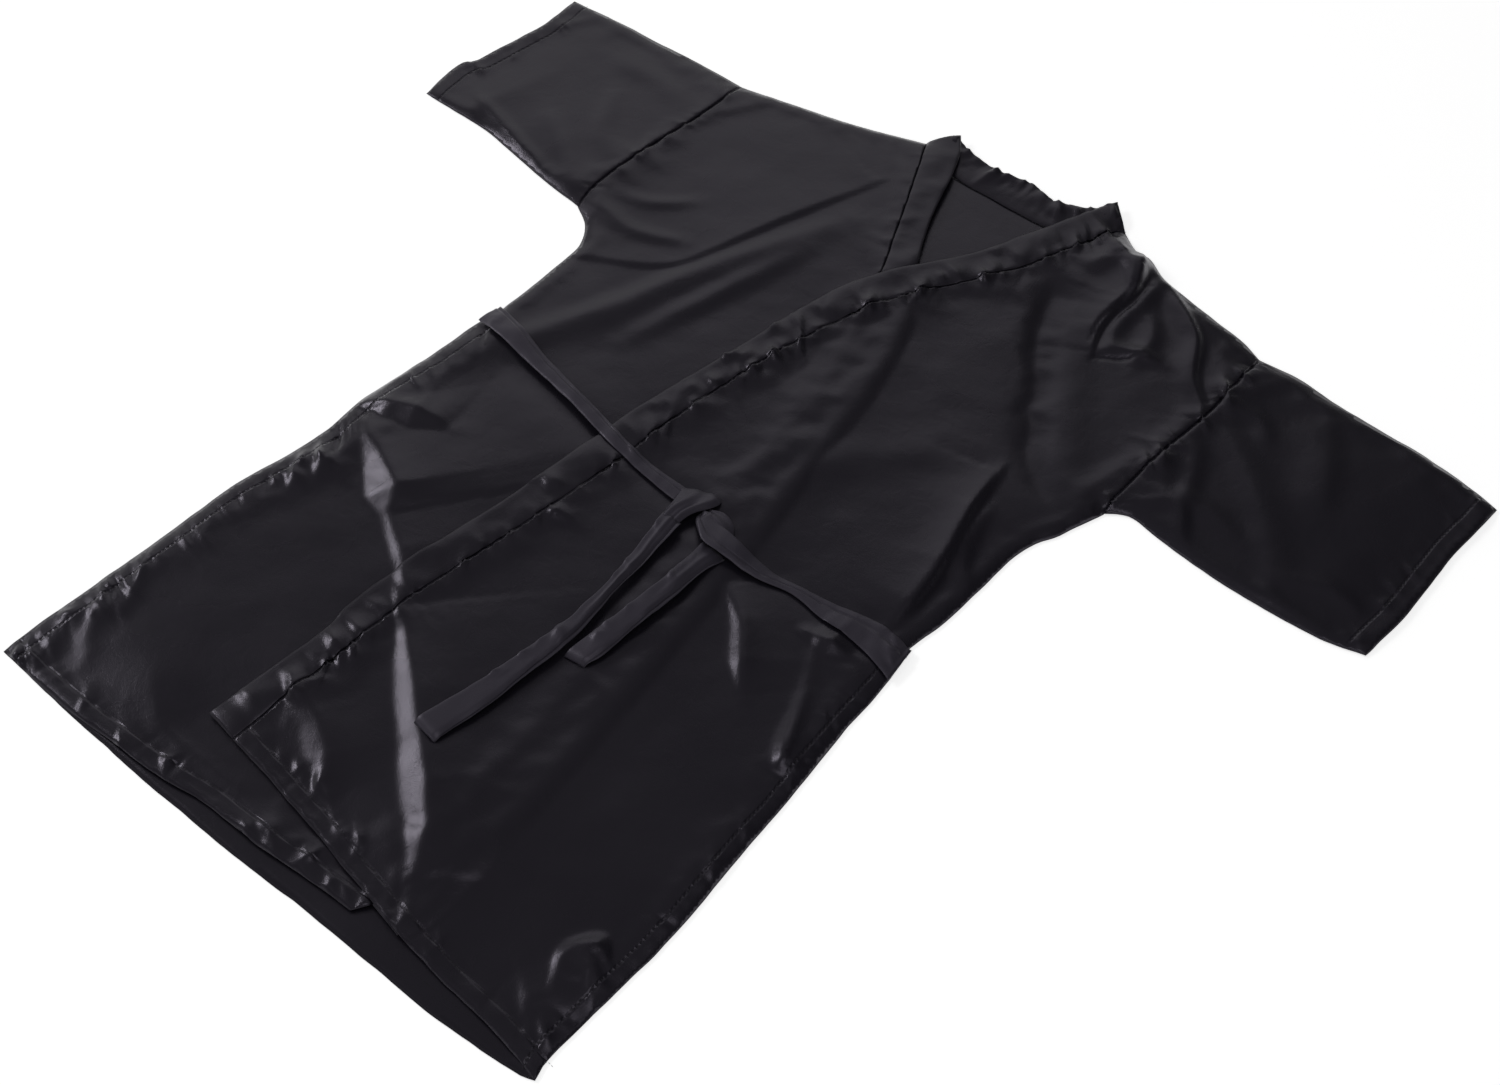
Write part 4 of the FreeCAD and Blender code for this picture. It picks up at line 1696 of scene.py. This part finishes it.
@dataclass
class StitchRow:
    """A row of lock stitches, each a short capsule of thread that dips into the cloth.

    The pitch, and the stitches' length, radius and depth in the cloth, are in millimetres.
    """

    node: str
    path: Points
    layer: Layer
    body: str = "gown"
    pitch: float = 3.0
    long: float = 2.2
    radius: float = 0.18
    sunk: float = 0.08

    def build(self, shop: Workshop) -> bpy.types.Object:
        """Args:
            shop: how the gown lies and its finishes.

        Returns:
            The finished piece.
        """
        plan = smooth_path(self.path, 0.0015)
        height = self.layer.height(shop.lie, plan) - self.sunk * MM
        guide = bpy.data.meshes.new(self.node + "_guide")
        guide.from_pydata([(x, y, z) for (x, y), z in zip(plan, height)],
                          [(index, index + 1) for index in range(len(plan) - 1)], [])
        source = add_object(self.node + "_guide", guide)
        modifier = source.modifiers.new("stitches", "NODES")
        modifier.node_group = stitch_nodes()
        for name, value in (("Pitch", self.pitch * MM), ("Length", self.long * MM),
                            ("Radius", self.radius * MM), ("Thread", shop.thread)):
            modifier[socket_named(modifier.node_group, name)] = value
        bpy.context.view_layer.update()
        made = source.evaluated_get(bpy.context.evaluated_depsgraph_get())
        mesh = bpy.data.meshes.new_from_object(made)
        mesh.name = self.node + "_stitches"
        piece = add_object(mesh.name, mesh)
        discard(source)
        shop.lie.drift(piece)
        mesh.materials.clear()
        mesh.materials.append(shop.thread)
        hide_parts(self.node)
        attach(piece, self.body)
        return piece


def socket_named(group: bpy.types.NodeTree, name: str) -> str:
    """Identifier of a group's input, by its name."""
    return next(item.identifier for item in group.interface.items_tree
                if item.item_type == "SOCKET" and item.name == name)


def stitch_nodes() -> bpy.types.NodeTree:
    """Make the node group that lays capsule stitches along an edge path.

    Returns:
        The group, made once and then shared.
    """
    known = bpy.data.node_groups.get("Lock stitches")
    if known:
        return known
    tree = bpy.data.node_groups.new("Lock stitches", "GeometryNodeTree")
    face = tree.interface
    face.new_socket("Geometry", in_out="INPUT", socket_type="NodeSocketGeometry")
    for name in ("Pitch", "Length", "Radius"):
        face.new_socket(name, in_out="INPUT", socket_type="NodeSocketFloat")
    face.new_socket("Thread", in_out="INPUT", socket_type="NodeSocketMaterial")
    face.new_socket("Geometry", in_out="OUTPUT", socket_type="NodeSocketGeometry")
    inputs = add_node(tree, "NodeGroupInput").outputs
    curve = add_node(tree, "GeometryNodeMeshToCurve", Mesh=inputs["Geometry"])
    spaced = add_node(tree, "GeometryNodeResampleCurve", Curve=curve.outputs["Curve"])
    if "Mode" in spaced.inputs:
        spaced.inputs["Mode"].default_value = "Length"
    else:
        spaced.mode = "LENGTH"
    tree.links.new(inputs["Pitch"], spaced.inputs["Length"])
    tangent = add_node(tree, "GeometryNodeInputTangent")
    turn = add_node(tree, "FunctionNodeAlignRotationToVector", {"axis": "X"},
                    Vector=tangent.outputs["Tangent"])
    ball = add_node(tree, "GeometryNodeMeshIcoSphere", Radius=1.0, Subdivisions=2)
    half = add_node(tree, "ShaderNodeMath", {"operation": "MULTIPLY"}, _0=inputs["Length"], _1=0.5)
    size = add_node(tree, "ShaderNodeCombineXYZ", X=half.outputs[0], Y=inputs["Radius"],
                    Z=inputs["Radius"])
    laid = add_node(tree, "GeometryNodeInstanceOnPoints", Points=spaced.outputs["Curve"],
                    Instance=ball.outputs["Mesh"], Rotation=turn.outputs["Rotation"],
                    Scale=size.outputs["Vector"])
    real = add_node(tree, "GeometryNodeRealizeInstances", Geometry=laid.outputs["Instances"])
    smooth = add_node(tree, "GeometryNodeSetShadeSmooth", _0=real.outputs["Geometry"])
    dyed = add_node(tree, "GeometryNodeSetMaterial", Geometry=smooth.outputs[0],
                    Material=inputs["Thread"])
    out = add_node(tree, "NodeGroupOutput")
    tree.links.new(dyed.outputs["Geometry"], out.inputs["Geometry"])
    return tree


# --- the studio ---------------------------------------------------------------------------------
@dataclass(frozen=True)
class Studio:
    """A pale floor, soft light and a camera over the gown's left hem.

    Places are in metres, and the lens is in millimetres.
    """

    eye: tuple[float, float, float] = (0.7966, -0.8533, 1.3344)
    aim: tuple[float, float, float] = (0.0865, -0.0317, 0.0)
    lens: float = 50.45
    half_floor: float = 20.0
    floor_height: float = -0.0004

    def camera(self) -> None:
        """Place the camera."""
        data = bpy.data.cameras.new("studio camera")
        data.lens, data.sensor_width, data.sensor_fit = self.lens, 36.0, "HORIZONTAL"
        camera = add_object("studio camera", data)
        camera.location = self.eye
        way = Vector(self.aim) - Vector(self.eye)
        camera.rotation_euler = way.to_track_quat("-Z", "Y").to_euler()
        bpy.context.scene.camera = camera

    def floor(self) -> None:
        """Lay the floor: matt white paint, with a glow that keeps it white under soft light."""
        material, tree = new_material("White matt studio floor")
        place = add_node(tree, "ShaderNodeTexCoord").outputs["Object"]
        mottle = add_node(tree, "ShaderNodeTexNoise", Vector=place, Scale=40.0)
        tone = add_node(tree, "ShaderNodeMapRange", Value=mottle.outputs["Fac"], To_Min=0.93,
                        To_Max=0.95)
        paint = add_node(tree, "ShaderNodeBsdfPrincipled", Base_Color=linear("#f6f6f6"),
                         Roughness=tone.outputs["Result"], Emission_Color=(1, 1, 1, 1),
                         Emission_Strength=0.66)
        out = add_node(tree, "ShaderNodeOutputMaterial")
        tree.links.new(paint.outputs["BSDF"], out.inputs["Surface"])
        corners = [(x * self.half_floor, y * self.half_floor, self.floor_height)
                   for x, y in ((-1, -1), (1, -1), (1, 1), (-1, 1))]
        floor = mesh_object("studio_floor", np.array(corners), [[0, 1, 2, 3]])
        floor.data.materials.append(material)

    def softbox(self, name: str, way: tuple[float, float, float], far: float,
                size: tuple[float, float], radiance: float) -> None:
        """Hang a rectangular light that looks at the gown's middle.

        Args:
            name: the light's name.
            way: direction from the gown to the light.
            far: distance in metres.
            size: width and height in metres.
            radiance: brightness of its face.
        """
        data = bpy.data.lights.new(name, "AREA")
        data.shape, data.size, data.size_y = "RECTANGLE", *size
        data.energy = radiance * math.pi * size[0] * size[1]
        light = add_object(name, data)
        light.location = Vector(way).normalized() * far
        light.rotation_euler = (-light.location).to_track_quat("-Z", "Y").to_euler()

    def light(self) -> None:
        """Light the scene."""
        world = bpy.data.worlds.new("studio air")
        bpy.context.scene.world = world
        world.use_nodes = True
        world.node_tree.nodes.clear()
        way = add_node(world.node_tree, "ShaderNodeTexCoord").outputs["Generated"]
        up = add_node(world.node_tree, "ShaderNodeSeparateXYZ", Vector=way).outputs["Z"]
        step = {"interpolation_type": "SMOOTHSTEP"}
        wall = add_node(world.node_tree, "ShaderNodeMapRange", step, Value=up, From_Min=0.22,
                        From_Max=0.5, To_Min=0.47, To_Max=0.195)
        side = add_node(world.node_tree, "ShaderNodeVectorMath", {"operation": "DOT_PRODUCT"},
                        _0=way, _1=(0.55, 0.83, 0.0))
        dark = add_node(world.node_tree, "ShaderNodeMapRange", step, Value=side.outputs["Value"],
                        From_Min=0.25, From_Max=0.75, To_Min=1.0, To_Max=0.3)
        glow = add_node(world.node_tree, "ShaderNodeMath", {"operation": "MULTIPLY"},
                        _0=wall.outputs["Result"], _1=dark.outputs["Result"])
        air = add_node(world.node_tree, "ShaderNodeBackground", Color=(1, 1, 1, 1),
                       Strength=glow.outputs["Value"])
        out = add_node(world.node_tree, "ShaderNodeOutputWorld")
        world.node_tree.links.new(air.outputs[0], out.inputs["Surface"])
        self.softbox("far softbox", (-0.81, -0.18, 0.56), 3.4, (1.1, 0.6), 10.3)
        self.softbox("top softbox", (0.35, -0.30, 0.89), 3.0, (1.6, 1.6), 1.2)
        self.softbox("neck softbox", (-0.60, 0.62, 0.55), 3.4, (2.6, 1.6), 0.42)
        view = bpy.context.scene.view_settings
        view.view_transform, view.look = "Standard", "None"
        view.exposure, view.gamma = 0.0, 1.0


def panels_and_bands() -> list[Sewn]:
    """List the cut panels, the seams inside, the bands and the sleeves.

    Returns:
        The pieces, the lowest layer first.
    """
    side_right = Line(inside(SEWN_SIDE_RIGHT, -FELL_RIGHT))
    side_left = Line(inside(SEWN_SIDE_LEFT, FELL_LEFT))
    armhole_right, armhole_left = Line(ARMHOLE_RIGHT), Line(ARMHOLE_LEFT)
    around_right = [SHOULDER_RIGHT[::-1], ARMHOLE_RIGHT[::-1], SIDE_RIGHT[::-1]]
    around_left = [SIDE_LEFT, ARMHOLE_LEFT, SHOULDER_LEFT]
    return [
        Panel("back_panel", [HEM_BACK, *around_left, NAPE_SEAM[::-1], *around_right], [],
              (0.62, 0.98), Layer.BACK, 0.007),
        SeamAllowance("right_side_seam", SIDE_RIGHT[1:-2], -3),
        SeamAllowance("left_side_seam", SIDE_LEFT[1:-2], 3),
        SeamAllowance("right_shoulder_seam", SHOULDER_RIGHT, -3),
        SeamAllowance("left_shoulder_seam", SHOULDER_LEFT, 3),
        Panel("right_front_panel", [PANEL_HEM_RIGHT, BAND_SEAM_RIGHT[::-1], *around_right],
              [side_right, armhole_right, SEAM_LINES["right_band"],
               Line(inside(HEM_RIGHT, HEM_DEPTH))],
              (0.42, 0.98), Layer.RIGHT, rests_on=["back_panel_cloth"]),
        FrontBand("right_front_band", BAND_SEAM_RIGHT, BAND_EDGE_RIGHT, left_front=False, seed=5),
        Panel("left_front_panel", [PANEL_HEM_LEFT, *around_left, BAND_SEAM_LEFT],
              [side_left, armhole_left, SEAM_LINES["left_band"],
               Line(inside(HEM_LEFT, HEM_DEPTH))],
              (0.42, 0.98), Layer.LEFT, rests_on=["right_front_panel_cloth"],
              creases=[Line(SHOULDER_SLIT), Line(SLIT_END)]),
        FrontBand("left_front_band", BAND_EDGE_LEFT[::-1], BAND_SEAM_LEFT[::-1], left_front=True,
                  seed=6),
        NapeBand("back_neck_band", inside(NAPE_SEAM, -5), NAPE_EDGE),
        Sleeve("right_sleeve", [ARMHOLE_RIGHT, SLEEVE_TOP_RIGHT, CUFF_RIGHT,
                                UNDERARM_RIGHT[::-1]], (0, 2),
               [armhole_right, Line(inside(CUFF_RIGHT, CUFF_DEPTH)), Line(UNDERARM_RIGHT)], False,
               (-300, -330)),
        Sleeve("left_sleeve", [ARMHOLE_LEFT[::-1], UNDERARM_LEFT, CUFF_LEFT[::-1],
                               SLEEVE_TOP_LEFT[::-1]], (0, 2),
               [armhole_left, Line(inside(CUFF_LEFT, -CUFF_DEPTH)), Line(UNDERARM_LEFT)], True,
               (300, 330)),
    ]


def ties_and_knot() -> list[Sewn]:
    """List the two ties, their half knot and its loose tails.

    Returns:
        The pieces.
    """
    return [
        Tie("right_tie", [(-259, 26), (-180, 4), (-103, -13), (-50, -24), (-20, -27), (15, -28)],
            [(-261, 0), (-200, -10), (-132, -21), (-60, -36), (-20, -41), (16, -44)],
            seed=61, crossing=(0.2, 0.3)),
        Tie("left_tie", [(50, -38), (66, -43), (94, -46), (133, -46), (180, -39), (220, -31),
                         (256, -34)],
            [(47, -53), (66, -66), (92, -66), (118, -62), (150, -55), (186, -58), (223, -60),
             (260, -68)], seed=62, knot_end=False, crossing=(0.75, 0.2)),
        Knot(),
        Tail("long_tie_tail", [(20, -64), (26, -90), (31, -120), (36, -150), (37, -175),
                               (38, -195), (33, -240), (26, -290), (17, -340)],
             [(37, -64), (39, -90), (43, -120), (45, -150), (48, -175), (51, -205), (49, -240),
              (47, -290), (41, -343)], body="long_tail", seed=71, twist=1.6),
        Tail("short_tie_tail", [(64, -64), (67, -90), (67, -126), (64, -165), (60, -195),
                                (57, -219)],
             [(86, -64), (84, -90), (83, -126), (82, -162), (80, -198), (76, -217)],
             body="short_tail", seed=72, twist=1.2, lift=-2.6),
    ]


def stitching() -> list[Sewn]:
    """List the rows of stitches.

    Returns:
        The rows.
    """
    return [
        StitchRow("back_hem_thread", inside(HEM_BACK, HEM_DEPTH), Layer.BACK),
        StitchRow("right_hem_thread", inside(HEM_RIGHT[:-1], HEM_DEPTH), Layer.RIGHT),
        StitchRow("left_hem_thread", inside(PANEL_HEM_LEFT, HEM_DEPTH), Layer.LEFT),
        StitchRow("right_band_thread", inside(BAND_SEAM_RIGHT, 2.5), Layer.RIGHT),
        StitchRow("left_band_thread", inside(BAND_SEAM_LEFT, 3), Layer.LEFT),
        StitchRow("neck_band_thread", inside(NAPE_SEAM, -3), Layer.BACK),
        StitchRow("right_side_thread", inside(SEWN_SIDE_RIGHT, -FELL_RIGHT), Layer.RIGHT),
        StitchRow("left_side_thread", inside(SEWN_SIDE_LEFT, FELL_LEFT), Layer.LEFT),
        StitchRow("right_armhole_thread", inside(ARMHOLE_RIGHT, -4), Layer.RIGHT),
        StitchRow("left_armhole_thread", inside(ARMHOLE_LEFT, 4), Layer.LEFT),
        StitchRow("right_cuff_thread", inside(CUFF_RIGHT, CUFF_DEPTH), Layer.RIGHT, "right_sleeve"),
        StitchRow("left_cuff_thread", inside(CUFF_LEFT, -CUFF_DEPTH), Layer.LEFT, "left_sleeve"),
    ]


def main() -> None:
    """Make the studio and the gown, and log the faces of each piece."""
    logging.basicConfig(level=logging.INFO, format="%(name)s: %(message)s")
    studio = Studio()
    studio.camera()
    studio.floor()
    studio.light()
    lie = Lie()
    lie.settle()
    shop = Workshop(lie, Satin("Black polyester satin", groove=True).material(),
                    Satin("Black polyester satin, folded band", roughness=0.3).material(),
                    # The ties' satin is the body's black cloth painted lighter: painted light, for
                    # the brighter look the ties have where light falls on them.
                    Satin("Black polyester satin, painted lighter for the ties", colour="#36333c",
                          roughness=0.4).material(), Thread().material())
    for part in [*panels_and_bands(), *ties_and_knot(), *stitching()]:
        piece = part.build(shop)
        LOG.info("%s: %d faces", piece.name, len(piece.data.polygons))


if __name__ == "__main__":
    main()
